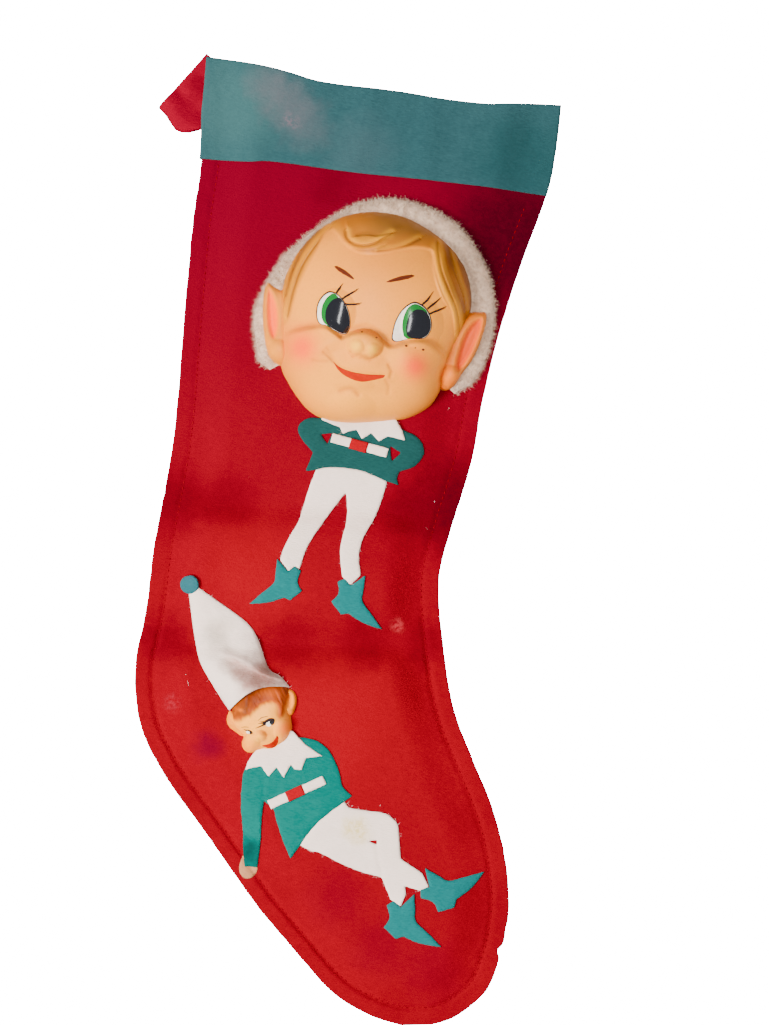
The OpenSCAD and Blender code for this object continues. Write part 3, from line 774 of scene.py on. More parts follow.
def build_back_panel():
    grid = panel_points(np.arange(0, len(HEEL_SIDE), 2), 80)
    x, z = grid[..., 0], grid[..., 1]
    inner = belly(x, z)
    front = np.stack([x, inner + 0.05, z], axis=-1)
    back = np.stack([x, inner + PANEL_T, z], axis=-1)
    obj = sheet_between("back_panel_felt", front, back, [RED_BACK])
    hang(obj, "back_panel", "front_panel_felt")


def cuff_grid(columns):
    """The cuff's points: its hem hangs a little unevenly."""
    grid = panel_points(np.arange(CUFF_ROWS), columns, 0.1)
    down = np.linspace(0, 1, CUFF_ROWS)[:, None]
    x = grid[..., 0]
    hem = spline([[0, -1], [28, 0.2], [42, 1.8], [80, 1.2], [110, 1.6], [150, 1.6], [180, 0.8]], 12)
    grid[..., 1] += np.interp(x, hem[:, 0], hem[:, 1]) * down**2 + 0.5 * (1 - down) ** 8
    grid[..., 0] -= 1.2 * down**1.5 * smooth(1 - x / 25)
    return grid


def cuff_folds(x, z):
    """Soft upright folds of the band."""
    return (1.3 * bell(x - 86 - 0.1 * z, 7) + 1.2 * bell(x - 117, 6) - 1.0 * bell(x - 101, 6)
            + 0.5 * bell(x - 58, 9) + 0.7 * bell(x - 148 + 0.1 * z, 8))


def build_cuff():
    for node_name, side in (("cuff_front", -1), ("cuff_back", 1)):
        grid = cuff_grid(90)
        x, z = grid[..., 0], grid[..., 1]
        if side < 0:
            near = PANEL_T + np.maximum(relief(x, z), 0) + 0.15 + 0.7 * np.maximum(cuff_folds(x, z), 0)
            far = near + PANEL_T
            front, back = -far, -near
        else:
            near = belly(x, z) + PANEL_T + 0.08
            front, back = near, near + PANEL_T
        obj = sheet_between(node_name + "_felt", np.stack([x, front, z], axis=-1),
                            np.stack([x, back, z], axis=-1), [TEAL_FELT if side < 0 else TEAL_BACK])
        hang(obj, node_name, "front_panel_felt", slice(CUFF_ROWS))


STITCH_WIDTH = 0.5
STITCH_PITCH = 3.0
STITCH_GAP = 0.3           # the part of the pitch between one stitch and the next


def stitches(name, line, height):
    """Short lengths of thread along a line, each one dipping into the felt at its ends."""
    run = np.concatenate([[0], np.cumsum(np.hypot(*np.diff(line, axis=0).T))])
    points, faces = [], []
    sides, rings = 6, 6
    for k in range(int(run[-1] / STITCH_PITCH)):
        s = (k + STITCH_GAP / 2 + (1 - STITCH_GAP) * np.linspace(0, 1, rings)) * STITCH_PITCH
        c = np.column_stack([np.interp(s, run, line[:, 0]), np.interp(s, run, line[:, 1])])
        along = (c[-1] - c[0]) / (np.linalg.norm(c[-1] - c[0]) + 1e-9)
        across = np.array([-along[1], along[0]])
        base = height(c[:, 0], c[:, 1])
        arch = np.sin(np.linspace(0.0, math.pi, rings))
        start = len(points)
        for i in range(rings):
            radius = STITCH_WIDTH / 2 * (0.55 + 0.45 * arch[i])
            for a in np.arange(sides) * 2 * math.pi / sides:
                side = c[i] + across * radius * math.cos(a)
                rise = (arch[i] - 0.6) * STITCH_WIDTH * 0.7 + radius * math.sin(a)
                y = base[i] + np.sign(base[i]) * rise
                points.append((side[0], y, side[1]))
        faces += grid_faces(rings, sides, start, wrap=True)
        faces.append(tuple(range(start, start + sides)))
        faces.append(tuple(range(start + (rings - 1) * sides, start + rings * sides)))
    return make(name, points, faces, [RED_THREAD])


def build_stitching():
    edge = np.vstack([HEEL_SIDE, TOE_SIDE[::-1]])
    along = np.roll(edge, -3, axis=0) - np.roll(edge, 3, axis=0)
    inset = edge + SEAM_INSET * np.column_stack([-along[:, 1], along[:, 0]]) / (
        np.linalg.norm(along, axis=1)[:, None] + 1e-9)
    line = inset[4:-4]
    line = line[line[:, 1] < -50]
    line = np.vstack([line[:1], line[1:][np.hypot(*np.diff(line, axis=0).T) > 0.2]])
    front = stitches("edge_stitching_front", line, lambda x, z: -(PANEL_T + relief(x, z)))
    finish_piece(front, "edge_stitching")
    back = stitches("edge_stitching_back", line, lambda x, z: PANEL_T + belly(x, z) + 0.02)
    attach(back, "stocking")


# ---------------------------------------------------------------- the hanging loop

STRAP_ANGLE = math.radians(236)
STRAP_T = 1.2
EYE_R = 4.0
# How far the worn end bulges at each place across the strap, and how far its lower edge flares.
STRAP_END = np.array([[-10, 0], [-5, 0.4], [-1.6, 1.4], [3.6, 2.6], [7, 1.6], [9.4, -0.4], [10, -0.9]])
STRAP_FLARE = np.array([[0, 0], [8, 0.6], [16, 2.4], [23, 3.2], [27, 1.6], [30, -0.2], [34, -1.0]])


def build_loop():
    """The folded strap: two soft layers round the eye, with one edge stretched by wear."""
    low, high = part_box("loop_tack")
    tack = (np.array(low) + np.array(high)) / 2
    eye = math.hypot(tack[0], tack[2]) * 1000
    eye_y = -CORNER[1] * 1000
    base = eye_y - 3.0
    r = EYE_R + STRAP_T / 2
    profile = spline([[-5, base - 0.85], [3, base - 0.85], [12, base - 0.1], [eye - 8, eye_y - 2.3],
                      [eye - 3, eye_y - 4.1], [eye, eye_y - r], [eye + r * 0.75, eye_y - r * 0.68],
                      [eye + r, eye_y], [eye + r * 0.7, eye_y + r * 0.7], [eye, eye_y + r],
                      [eye - 3, eye_y + 4.0], [eye - 8, eye_y + 0.9], [12, base + 1.7],
                      [3, base + 0.85], [-5, base + 0.85]], 8)
    along = np.gradient(profile, axis=0)
    out = np.column_stack([along[:, 1], -along[:, 0]]) / np.linalg.norm(along, axis=1)[:, None]
    w = np.linspace(-10, 10, 31)
    direction = np.array([math.cos(STRAP_ANGLE), math.sin(STRAP_ANGLE)])
    across = np.array([-direction[1], direction[0]])
    tack_mm = (tack - CORNER)[[0, 2]] * 1000

    def surface(offset):
        rows = []
        for s, y in profile + out * offset:
            bulge = np.interp(w, STRAP_END[:, 0], STRAP_END[:, 1]) * smooth((s - 16) / 12)
            flare = np.interp(s, STRAP_FLARE[:, 0], STRAP_FLARE[:, 1]) * smooth((w + 2) / 12)
            edge = 0.25 * noise(w, np.full(31, s), 4, 4) * (np.abs(w) > 8.5)
            wave = 0.4 * noise(w + 3, np.full(31, s), 7, 4) * smooth((s - 8) / 10)
            p = tack_mm + direction * (s + bulge)[:, None] + across * (w + flare + edge)[:, None]
            rows.append(np.column_stack([p[:, 0], y + wave, p[:, 1]]))
        return np.array(rows)

    obj = sheet_between("hanging_loop_felt", surface(STRAP_T / 2), surface(-STRAP_T / 2), [STRAP_FELT])
    finish_piece(obj, "hanging_loop", "loop")


def build_tack():
    """The knot of thread keeps its CAD shape, with the look of thread."""
    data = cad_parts["loop_tack"].data
    data.materials.clear()
    data.materials.append(RED_THREAD)


# ---------------------------------------------------------------- felt outlines of the large elf

def shoe_outline(notch, turn, size, mirrored):
    """The shared shoe, set down at its ankle notch."""
    base = joined(
        [[-6.6, 5.7], [0, 0], [2.8, 3], [6.2, 1.2]],
        spline([[6.2, 1.2], [5.2, -2.6], [5.6, -5.6], [8, -8.6]], 5)[1:],
        [[2.8, -14.1]],
        spline([[-0.7, -13.2], [-6.5, -16.2], [-12, -17.8], [-17.4, -18.8]], 5),
        spline([[-17.4, -18.8], [-12.5, -13.2], [-6.6, -6.6], [-6.4, -2], [-6.6, 5.7]], 5)[1:-1])
    if mirrored:
        base = base * [-1, 1]
        base = base[::-1]
    a = math.radians(turn)
    rotation = np.array([[math.cos(a), math.sin(a)], [-math.sin(a), math.cos(a)]])
    return base * size @ rotation + np.array(notch)


def slanted(centre, angle, size):
    """A rectangle of that length and width, turned about its centre."""
    half = np.array([[-1, -1], [1, -1], [1, 1], [-1, 1]]) * np.array(size) / 2
    a = math.radians(angle)
    return half @ np.array([[math.cos(a), math.sin(a)], [-math.sin(a), math.cos(a)]]) + np.array(centre)


LARGE_HEM = spline([[84.3, -196.6], [90, -194.6], [97, -193.8], [106, -193.8], [113, -195.4],
                    [120, -197.5]], 5)


def build_large_clothes():
    jacket = joined(
        spline([[90, -166], [84, -170.4], [78, -171.2], [73.5, -174.2], [72.6, -178.5], [75.5, -183],
                [81.5, -188.3]], 5),
        [[79, -197.8], [80.8, -197.8]], LARGE_HEM,
        [[126, -198.6], [124.8, -195]],
        spline([[125.6, -191.8], [132, -188.5], [136, -183], [135.6, -177.5], [131, -173],
                [124, -170.6], [116, -164]], 5))
    arms = [[[84.2, -178.8], [89.6, -177.5], [88, -183]], [[119.2, -180], [125, -182.4], [121, -187]]]
    belt = felt_piece("large_belt", slanted([104, -181.6], -7.5, (29, 4.7)), WHITE_FELT, layer=1,
                      sheet=False, step=0.9)
    buckle = felt_piece("large_buckle", slanted([103.6, -181.8], -7.5, (9, 5.2)), BUCKLE_FELT, layer=2,
                        thickness=0.6, sheet=False, step=0.8)
    felt_piece("large_jacket", jacket, GREEN_FELT, holes=arms)
    collar = joined([[86, -160], [83.4, -171.6], [90, -173.3], [93, -174], [95, -177.1], [98, -175.4],
                     [101.3, -174], [104.8, -178.2], [109, -174.8], [113.3, -178.4],
                     [117.3, -175.2], [126.3, -176], [124.2, -171.5], [120.5, -166.7], [116, -160]])
    felt_piece("large_collar", collar, WHITE_FELT, layer=1, step=1.1)
    tights = joined(
        spline([[84.3, -196.6], [82, -206], [80.3, -216], [79.2, -223], [75.5, -232], [73.2, -240],
                [72.8, -243.6]], 5),
        [[77.8, -248.6], [80.6, -245.6]],
        spline([[83, -246.8], [84.6, -238], [86.6, -232], [92.5, -220], [100.2, -206]], 5),
        spline([[100.6, -206.4], [102, -212], [102.8, -220], [101.8, -229], [102, -237],
                [104.6, -247.6]], 5),
        [[109.2, -251.1], [113.6, -245.6]],
        spline([[113.4, -245], [111.4, -236], [112.3, -227], [116.6, -216], [119, -206],
                [120, -197.5]], 5),
        LARGE_HEM[::-1][1:-1])
    felt_piece("large_tights", tights, WHITE_FELT,
               creases=[([[82, -222], [86, -219], [91, -218.4]], 0.3, 1.2),
                        ([[103, -222], [107, -221], [111, -222.6]], 0.3, 1.2)])
    stray_fibres("clothes_stray_fibres", [tights[::2], collar], 500)
    felt_piece("large_left_shoe", shoe_outline([77.8, -248.8], 0, 1, False), SHOE_FELT)
    felt_piece("large_right_shoe", shoe_outline([109.2, -251.4], 1, 1.06, True), SHOE_FELT)


def strands(name, root, way, length, width, material):
    """Thin tapering hairs: each starts at its root, goes its way and bends a little."""
    count = len(root)
    bend = RANDOM.normal(0, 0.55, (count, 3))
    side = np.cross(way, RANDOM.normal(0, 1, (count, 3)))
    side /= np.linalg.norm(side, axis=1)[:, None]
    rows = [root + way * length * s + bend * length * s * s * 0.5 for s in (0.0, 0.4, 0.75, 1.0)]
    points, faces = [], []
    for taper, row in zip((1.0, 0.8, 0.55), rows):
        points += [row - side * width * taper, row + side * width * taper]
    points.append(rows[3])
    points = np.stack(points, axis=1).reshape(-1, 3)
    for b in range(0, 7 * count, 7):
        faces += [(b, b + 1, b + 3, b + 2), (b + 2, b + 3, b + 5, b + 4), (b + 4, b + 5, b + 6)]
    return make(name, points, faces, [material])


def stray_fibres(name, outlines, count):
    """Loose white hairs that stand out from the cut edges of the felt."""
    roots, ways = [], []
    for line in outlines:
        pick = RANDOM.integers(0, len(line), count // len(outlines))
        start, end = line[pick], line[(pick + 1) % len(line)]
        at = start + (end - start) * RANDOM.random((len(pick), 1))
        turn = RANDOM.uniform(0, 2 * math.pi, len(pick))
        lift = PANEL_T + relief(at[:, 0], at[:, 1]) + FELT_T * RANDOM.uniform(0.2, 0.9, len(pick))
        roots.append(np.column_stack([at[:, 0], -lift, at[:, 1]]))
        ways.append(np.column_stack([np.cos(turn), RANDOM.uniform(-0.5, 0, len(pick)), np.sin(turn)]))
    root = np.vstack(roots)
    obj = strands(name, root, np.vstack(ways), RANDOM.uniform(0.4, 1.7, (len(root), 1)),
                  RANDOM.uniform(0.02, 0.045, (len(root), 1)), WHITE_FELT)
    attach(obj, "stocking")


SEEN_LINT = np.array([[36.5, -312, 2.2, 3.4], [36.9, -312.6, 2.0, 2.6], [118.6, -396.6, 0.4, 2.4]])
STRAY_LINT = 13            # more hairs, placed by chance


def build_lint():
    """A few white hairs that have settled on the red felt."""
    seen_x, seen_z, seen_turn, seen_length = SEEN_LINT.T
    count = len(SEEN_LINT) + STRAY_LINT
    x = np.concatenate([seen_x, RANDOM.uniform(25, 150, STRAY_LINT)])
    z = np.concatenate([seen_z, RANDOM.uniform(-400, -70, STRAY_LINT)])
    turn = np.concatenate([seen_turn, RANDOM.uniform(0, 2 * math.pi, STRAY_LINT)])
    root = np.column_stack([x, -(PANEL_T + relief(x, z) + 0.25), z])
    way = np.column_stack([np.cos(turn), np.full(count, -0.05), np.sin(turn)])
    length = np.concatenate([seen_length, RANDOM.uniform(0.8, 1.8, STRAY_LINT)])[:, None]
    obj = strands("settled_lint", root, way, length, np.full((count, 1), 0.07), WHITE_FELT)
    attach(obj, "stocking")


SMALL_HEM = spline([[121.2, -358.8], [115.5, -364.2], [110, -370.2], [105.5, -377], [102.5, -383.2]], 5)


def build_small_clothes():
    jacket = joined(
        spline([[84, -330], [97, -329.8], [105, -331], [111.5, -336], [116.5, -344], [119, -350.5],
                [120.4, -352.2]], 5),
        [[124.7, -355.2]], SMALL_HEM,
        spline([[98.5, -390.8], [93.5, -382], [89.5, -374], [87.2, -367.8]], 5),
        spline([[81.5, -363.8], [81.6, -372], [82.6, -384], [82.7, -397.5]], 5),
        spline([[76.2, -398], [74.5, -390], [73, -380], [70.4, -368], [69.4, -357], [70, -349],
                [76, -338]], 5))
    belt = felt_piece("small_belt", slanted([97.1, -357.3], 32.3, (30.4, 4.7)), WHITE_FELT, layer=1,
                      sheet=False, step=0.9)
    buckle = felt_piece("small_buckle", slanted([96.4, -357.8], 32.3, (9, 5.2)), BUCKLE_FELT, layer=2,
                        thickness=0.6, sheet=False, step=0.8)
    hand = spline([[75.5, -392], [73.9, -396], [74.2, -401], [77.5, -403.7], [81.5, -402.2],
                   [83, -397.5], [80, -394]], 5, closed=True)
    hand = felt_piece("small_hand", hand, HAND_FELT, layer=-0.4, sheet=False, step=1.0)
    felt_piece("small_jacket", jacket, BRIGHT_FELT,
               creases=[([[72, -387], [76, -389.4], [80, -388.6]], 0.35, 1.1),
                        ([[80.6, -362], [80.2, -356], [79, -351]], 0.3, 1.0)])
    collar = joined([[76, -336], [72.6, -341.6], [70.8, -345.5], [70, -349.8], [74, -348], [77.8, -346.8],
                     [79.5, -349], [82.3, -351.3], [85.4, -346.2], [87.5, -348.5], [89.7, -350.9],
                     [92.3, -344], [94.5, -346], [98, -346], [98.6, -343], [99.2, -339.6],
                     [107.3, -337.6], [98, -333], [91, -327.3], [84, -326]])
    felt_piece("small_collar", collar, WHITE_FELT, layer=1, step=1.1)
    tights = joined(
        [[121.2, -358.8], [124, -361.3]],
        spline([[128, -361.5], [133, -361.6], [142, -361.6], [148.5, -365.4], [150.6, -372],
                [153, -383]], 5),
        [[164.6, -388.5], [168.9, -394.8], [164.8, -397.4], [157, -396.3], [158.1, -400.2],
         [156.3, -406.4], [151, -403.9]],
        spline([[148, -399], [145.5, -394.5], [143.5, -393.3], [136, -392.6], [124, -389.6],
                [113, -385.7], [108, -385.2], [102.5, -383.2]], 5),
        SMALL_HEM[::-1][1:-1])
    felt_piece("small_tights", tights, WHITE_FELT, holes=[[[136, -376.4], [140, -375.3], [140.2, -377.7]]],
               creases=[([[140.2, -377.7], [141.6, -383], [143.8, -389], [145.5, -393]], 0.4, 0.8),
                        ([[118, -372], [126, -374.5], [134, -375.6]], 0.25, 1.4)])
    stray_fibres("tights_stray_fibres", [tights[::2]], 420)
    felt_piece("small_front_shoe", shoe_outline([156.3, -406.8], 11, 1.12, True), SHOE_FELT)
    felt_piece("small_rear_shoe", shoe_outline([169.2, -395], 70.5, 1.12, True), SHOE_FELT)


# ---------------------------------------------------------------- moulded masks

LARGE_CENTRE = np.array([100.0, -118.0])
LARGE_HEAD = spline([
    [60, -149], [58.2, -140], [56.2, -128], [54.9, -116], [54.9, -105], [57, -96.5], [60.8, -87.5],
    [66.5, -79], [73.2, -72.8], [81, -68], [90, -65], [100, -63.9], [110, -64.8], [120, -67.9],
    [130, -73], [139.5, -80.5], [145.6, -89], [149, -99], [149.6, -108], [147, -120], [144, -131],
    [141.6, -140], [139.9, -149], [135.8, -157.5], [127, -164.3], [118, -167.4], [108, -169.8],
    [100, -171.2], [91, -171.9], [85, -171.3], [79.5, -169.6], [74.5, -166.6], [69.2, -161.6],
    [64, -155.3]], 6, closed=True)
LARGE_HAIRLINE = [
    [58, -128], [50, -126], [47, -100], [58, -70], [80, -56], [110, -52], [142, -63], [162, -100],
    [160, -136], [145, -136], [143.4, -126], [142.4, -116], [139.4, -108.4], [134, -101.5],
    [130.6, -95], [128.2, -87.5], [126.2, -80.5], [121, -79.5], [114.5, -80.4], [108, -82.4],
    [101.5, -84.6], [95, -85.9], [89, -85.6], [83.4, -83], [79.3, -79.3], [75.5, -76.6],
    [71.8, -79.8], [69.4, -87.5], [66, -97], [63.2, -106], [61.6, -115], [60.6, -123]]
LARGE_HAIRLINE = spline(LARGE_HAIRLINE, 3, closed=True)
# Moulded locks: each is a line with the height of its step and how far the lock reaches from it.
# The raised side lies on the left of the line's direction.
LOCKS = [
    ([[105, -74.3], [101.5, -77], [97.5, -80], [92.5, -81.7], [87.6, -81.7], [83.8, -79.6],
      [82.6, -76.3]], -1.5, 4.5),
    ([[104, -74.8], [98, -76.6], [92.5, -76.8], [88.5, -78]], 0.7, 3),
    ([[100, -83.6], [107, -81.9], [113, -79.2], [119, -75]], 1.0, 5),
    ([[83, -84.3], [90, -84.7], [97, -83.3], [102, -80.6]], 0.5, 3),
    ([[128.8, -76], [132.4, -88], [138, -98.5], [143.2, -108], [146, -119]], 0.7, 5),
    ([[134.4, -77.5], [139.4, -89], [144.8, -100], [148.2, -112]], 0.6, 5),
    ([[127, -82], [130.8, -92.5], [135.2, -101], [140.2, -108.6], [143, -119]], 0.6, 3.5),
    ([[73.8, -76.4], [67.6, -86], [62.6, -97], [60, -109], [59, -122]], -0.9, 4),
    ([[68.4, -77.6], [61.6, -88], [58, -100], [56.6, -112]], -0.8, 4)]
LOCKS = [(spline(line, 4), step, reach) for line, step, reach in LOCKS]
CREASES = [
    ([[80, -137.8], [82, -139.2], [84.4, -140.8]], 0.7, 0.9),
    ([[75, -142.6], [79, -142.7], [82.5, -142.1]], 0.5, 1.0),
    ([[81.5, -135.5], [83.2, -138], [84.6, -141.5]], 0.4, 1.0),
    ([[113, -139.6], [115, -142.6], [114.4, -145.6]], 0.6, 1.0),
    ([[112.6, -147.2], [114.6, -150.5], [114.6, -153.5]], 0.4, 1.0),
    ([[90.6, -156], [93, -154.7], [95.6, -154.1], [98, -154.8], [100, -156.2]], 0.8, 1.1),
    ([[85.6, -142], [90, -144.8], [96, -146.6], [102, -146.8], [107, -146.1], [111, -145.6]], 0.6, 1.0),
    ([[92.6, -135.6], [94.6, -137.6], [97.6, -136.6], [100, -137.4], [103.4, -138.2], [106.4, -136]],
     0.7, 0.9)]
SHELF = spline([[50, -138], [58, -132], [64, -129], [70.5, -126.6], [78, -124.9], [84, -127.2],
                [88, -129.3], [91, -127], [95, -125], [99.5, -124.2], [104, -125.4], [108, -128],
                [113, -130.2], [119, -127.6], [126, -125.4], [131, -125.6], [136, -128.4],
                [141, -133], [152, -142]], 5)


def around(loop, centre):
    """A function that gives a loop's radius at each angle round a centre."""
    d = loop - centre
    angle = np.arctan2(d[:, 1], d[:, 0])
    order = np.argsort(angle)
    return lambda a: np.interp(a, angle[order], np.hypot(*d.T)[order], period=2 * math.pi)


def share_out(x, z, centre, radius_at):
    """0 at the centre of a mask and 1 on its outline."""
    dx, dz = x - centre[0], z - centre[1]
    return np.hypot(dx, dz) / radius_at(np.arctan2(dz, dx))


def swell(x, z, place, radii, height, edge=0.7, low_edge=None):
    """A rounded lump. A small edge value leaves a crease round it, a large one blends it in."""
    d = np.hypot((x - place[0]) / radii[0], (z - place[1]) / radii[1])
    power = edge if low_edge is None else edge + (low_edge - edge) * smooth((place[1] - z) / radii[1])
    return height * np.clip(1 - d * d, 0, 1) ** power


LARGE_RADIUS = around(LARGE_HEAD, LARGE_CENTRE)
LARGE_DEPTH = length_of("large_face_mask", 1) - 10


def large_height(x, z):
    """The large mask's height over its rim."""
    t = np.clip(share_out(x, z, LARGE_CENTRE, LARGE_RADIUS), 0, 1)
    h = LARGE_DEPTH * np.sqrt(np.clip(1 - t**2.5, 0, 1))
    below = np.interp(x, SHELF[:, 0], SHELF[:, 1]) - z
    h += 2.6 * smooth((below + 1.2) / 3.4) * (1 - smooth(below / 27)) * smooth((1 - t) / 0.12)
    h -= 0.7 * bell(below + 1.4, 1.8) * smooth((1 - t) / 0.2)
    h += 3.0 * bell(np.hypot(x - 72, z + 140), 11.5) + 3.0 * bell(np.hypot(x - 127.6, z + 140), 11)
    h -= 1.6 * bell(np.hypot((x - 88.5) * 1.1, z + 136.5), 6) + 1.6 * bell(np.hypot(x - 111.5, z + 136), 6)
    h += swell(x, z, (98.5, -145), (19, 12), 2.2, 1.3)
    h += swell(x, z, (99.5, -131), (9.4, 7.6), 5.6, 0.8, 0.7)
    h += swell(x, z, (95.4, -132.8), (4.2, 4), 1.5, 1.2) + swell(x, z, (104.2, -133.6), (4.2, 4), 1.5, 1.2)
    h += swell(x, z, (97, -163), (13, 9), 2.4, 1.3) + swell(x, z, (98, -151), (10, 3.4), 0.9, 1.2)
    h += swell(x, z, (99, -99), (32, 22), 1.5, 1.4)
    for x0, z0 in ((82.2, -117.6), (126.5, -117.4)):
        h += swell(x, z, (x0, z0), (11, 12.5), 2.8, 1.1)
    for line, depth, width in CREASES:
        h -= depth * bell(to_line(x, z, line), width)
    return h + hair_height(x, z)


def hair_cover(x, z):
    """1 in the moulded hair and 0 on the skin; the side locks fade out by the ears."""
    return smooth((depth_in(x, z, LARGE_HAIRLINE) + 0.9) / 2.4) * smooth((z + 134) / 14)


def hair_height(x, z):
    """The moulded hair: a raised cap with overlapping locks."""
    cover = hair_cover(x, z)
    h = 1.1 * cover
    for line, step, reach in LOCKS:
        side = side_of(x, z, line) * np.sign(step)
        h += abs(step) * smooth((side + 0.35) / 0.9) * bell(side, reach) * cover
        h -= 0.35 * abs(step) * bell(side + 0.3, 0.6) * cover
    combed = side_of(x, z, LOCKS[4][0])
    h += 0.16 * np.sin(combed * 2.4) * cover * smooth((x - 122) / 8)
    left = side_of(x, z, LOCKS[7][0])
    return h + 0.14 * np.sin(left * 2.2) * cover * smooth((80 - x) / 8)


def blend_colour(base, colour, amount):
    amount = np.clip(np.asarray(amount), 0, 1)[:, None]
    return base * (1 - amount) + np.array(colour) * amount


def large_colour(x, z):
    """Sprayed skin, blush and hair of the large mask, with painted shade and painted highlights."""
    c = np.tile(pigment(236, 186, 146), (len(x), 1))
    t = share_out(x, z, LARGE_CENTRE, LARGE_RADIUS)
    below = np.interp(x, SHELF[:, 0], SHELF[:, 1]) - z
    c = blend_colour(c, pigment(226, 168, 130), 0.6 * smooth((t - 0.75) / 0.25))
    # Painted shade: the skin is darker on the forehead.
    c = blend_colour(c, pigment(226, 168, 128), 0.6 * bell(np.hypot(x - 98, z + 92), 22))
    c = blend_colour(c, pigment(240, 196, 150), 0.6 * bell(np.hypot((x - 100) * 0.6, z + 160), 12))
    # Painted shade: a darker band along the crease above the cheeks and nose.
    c = blend_colour(c, pigment(208, 142, 100), 0.55 * bell(below + 1, 2.4) * smooth((0.97 - t) / 0.2))
    c = blend_colour(c, pigment(252, 146, 100), 0.95 * bell(np.hypot(x - 68.8, (z + 137) * 0.9), 7.4))
    c = blend_colour(c, pigment(246, 138, 8), 0.95 * bell(np.hypot(x - 126, z + 138.6), 6.4))
    # Painted highlights: two light spots on the nose's lobes.
    c = blend_colour(c, pigment(250, 216, 158), 0.75 * bell(np.hypot(x - 95, z + 132.6), 3.2))
    c = blend_colour(c, pigment(250, 216, 158), 0.75 * bell(np.hypot(x - 104.2, z + 133.4), 3))
    # Painted shade: the moulded creases are darker.
    for line, depth, width in CREASES:
        c = blend_colour(c, pigment(196, 124, 82), 0.5 * depth * bell(to_line(x, z, line), width))
    cover = depth_in(x, z, LARGE_HAIRLINE)
    hair = np.tile(pigment(206, 144, 50), (len(x), 1))
    # Painted shade: the top of the hair is browner and its right side darker.
    top = smooth((z + 82 - 0.12 * (x - 100)) / 10) * smooth((x - 84) / 18)
    hair = blend_colour(hair, pigment(172, 122, 76), 0.92 * top)
    hair = blend_colour(hair, pigment(136, 74, 22), 0.92 * smooth((x - 126) / 10) * smooth((-70 - z) / 8))
    hair = blend_colour(hair, pigment(236, 192, 104), 0.8 * bell(cover - 2.4, 2.4) * smooth((84 - x) / 10))
    hair = blend_colour(hair, pigment(232, 186, 100), 0.85 * bell(cover - 2.2, 2.2) * smooth((x - 124) / 4))
    hair = blend_colour(hair, pigment(180, 116, 34), 0.75 * bell(to_line(x, z, LOCKS[8][0]), 6))
    hair = blend_colour(hair, pigment(192, 126, 40), 0.5 * smooth((84 - x) / 12) * smooth((t - 0.8) / 0.1))
    # Painted shade and painted highlight: each lock is darker below its step and lighter on its raised side.
    for line, step, reach in LOCKS:
        shaded_side = bell(side_of(x, z, line) * np.sign(step) + 0.5, 0.9)
        hair = blend_colour(hair, pigment(134, 80, 22), 0.75 * min(abs(step), 1) * shaded_side)
        lit_side = bell(side_of(x, z, line) * np.sign(step) - 1.4, 1.1)
        hair = blend_colour(hair, pigment(240, 200, 116), 0.35 * abs(step) * lit_side)
    streak = noise(side_of(x, z, LOCKS[4][0]), z * 0.06, 1.1, 6)
    hair = blend_colour(hair, pigment(206, 146, 60), 0.35 * smooth(streak) * smooth((x - 122) / 10))
    return c + (hair - c) * hair_cover(x, z)[:, None]


def polar_points(centre, radius_at, rings, spokes):
    """A grid of points from the centre out, closer together towards the outline."""
    t = np.sin(np.linspace(0.004, 1, rings) * math.pi / 2)
    a = np.arange(spokes) * 2 * math.pi / spokes
    r = t[:, None] * radius_at(a)[None, :]
    return (centre[0] + r * np.cos(a), centre[1] + r * np.sin(a))


def moulded(name, parts, seat, material):
    """A moulding from several height fields over polar grids, with a rim that turns inwards.

    Each part is (centre, radius function, rings, spokes, height function, colour function).
    """
    points, faces, colours = [], [], []
    start = 0
    for centre, radius_at, rings, spokes, height, colour in parts:
        x, z = polar_points(centre, radius_at, rings, spokes)
        y = -(seat + height(x, z))
        rim_x = centre[0] + (x[-1] - centre[0]) * 0.97
        rim_z = centre[1] + (z[-1] - centre[1]) * 0.97
        x = np.vstack([x, x[-1:], rim_x[None]])
        z = np.vstack([z, z[-1:], rim_z[None]])
        low = np.full((1, spokes), -PANEL_T - 0.3)
        y = np.vstack([y, low, low])
        points.append(np.column_stack([x.ravel(), y.ravel(), z.ravel()]))
        colours.append(colour(x.ravel(), z.ravel()))
        faces += [tuple(reversed(f)) for f in grid_faces(rings + 2, spokes, start, wrap=True)]
        faces.append(tuple(range(start, start + spokes)))
        start += (rings + 2) * spokes
    obj = make(name, drawn_in(np.vstack(points)), faces, [material])
    paint(obj, np.vstack(colours))
    return obj


def ear_part(outline, centre, level, dome, leaf, leaf_colour, skin, lobe, recess):
    """One ear of a moulding: a rounded plate with a sunk, painted leaf and a lobe."""
    loop = spline(outline, 5, closed=True)
    inner = spline(leaf, 4, closed=True)
    radius_at = around(loop, np.array(centre))

    def height(x, z):
        t = np.clip(share_out(x, z, centre, radius_at), 0, 1)
        h = level * np.sqrt(np.clip(1 - t**12, 0, 1)) + dome * np.sqrt(np.clip(1 - t**2.2, 0, 1))
        h += swell(x, z, lobe[:2], (lobe[2], lobe[2]), lobe[3], 0.9)
        return h - recess * smooth((depth_in(x, z, inner) + 0.6) / 3.4)

    def colour(x, z):
        c = np.tile(skin, (len(x), 1))
        d = depth_in(x, z, inner)
        c = blend_colour(c, pigment(206, 146, 98), 0.5 * bell(d + 0.5, 1.2))
        return blend_colour(c, leaf_colour, smooth((d + 0.5) / 2.8))

    return (np.array(centre), radius_at, 46, 150, height, colour)


LARGE_SEAT = PANEL_T + 1.6


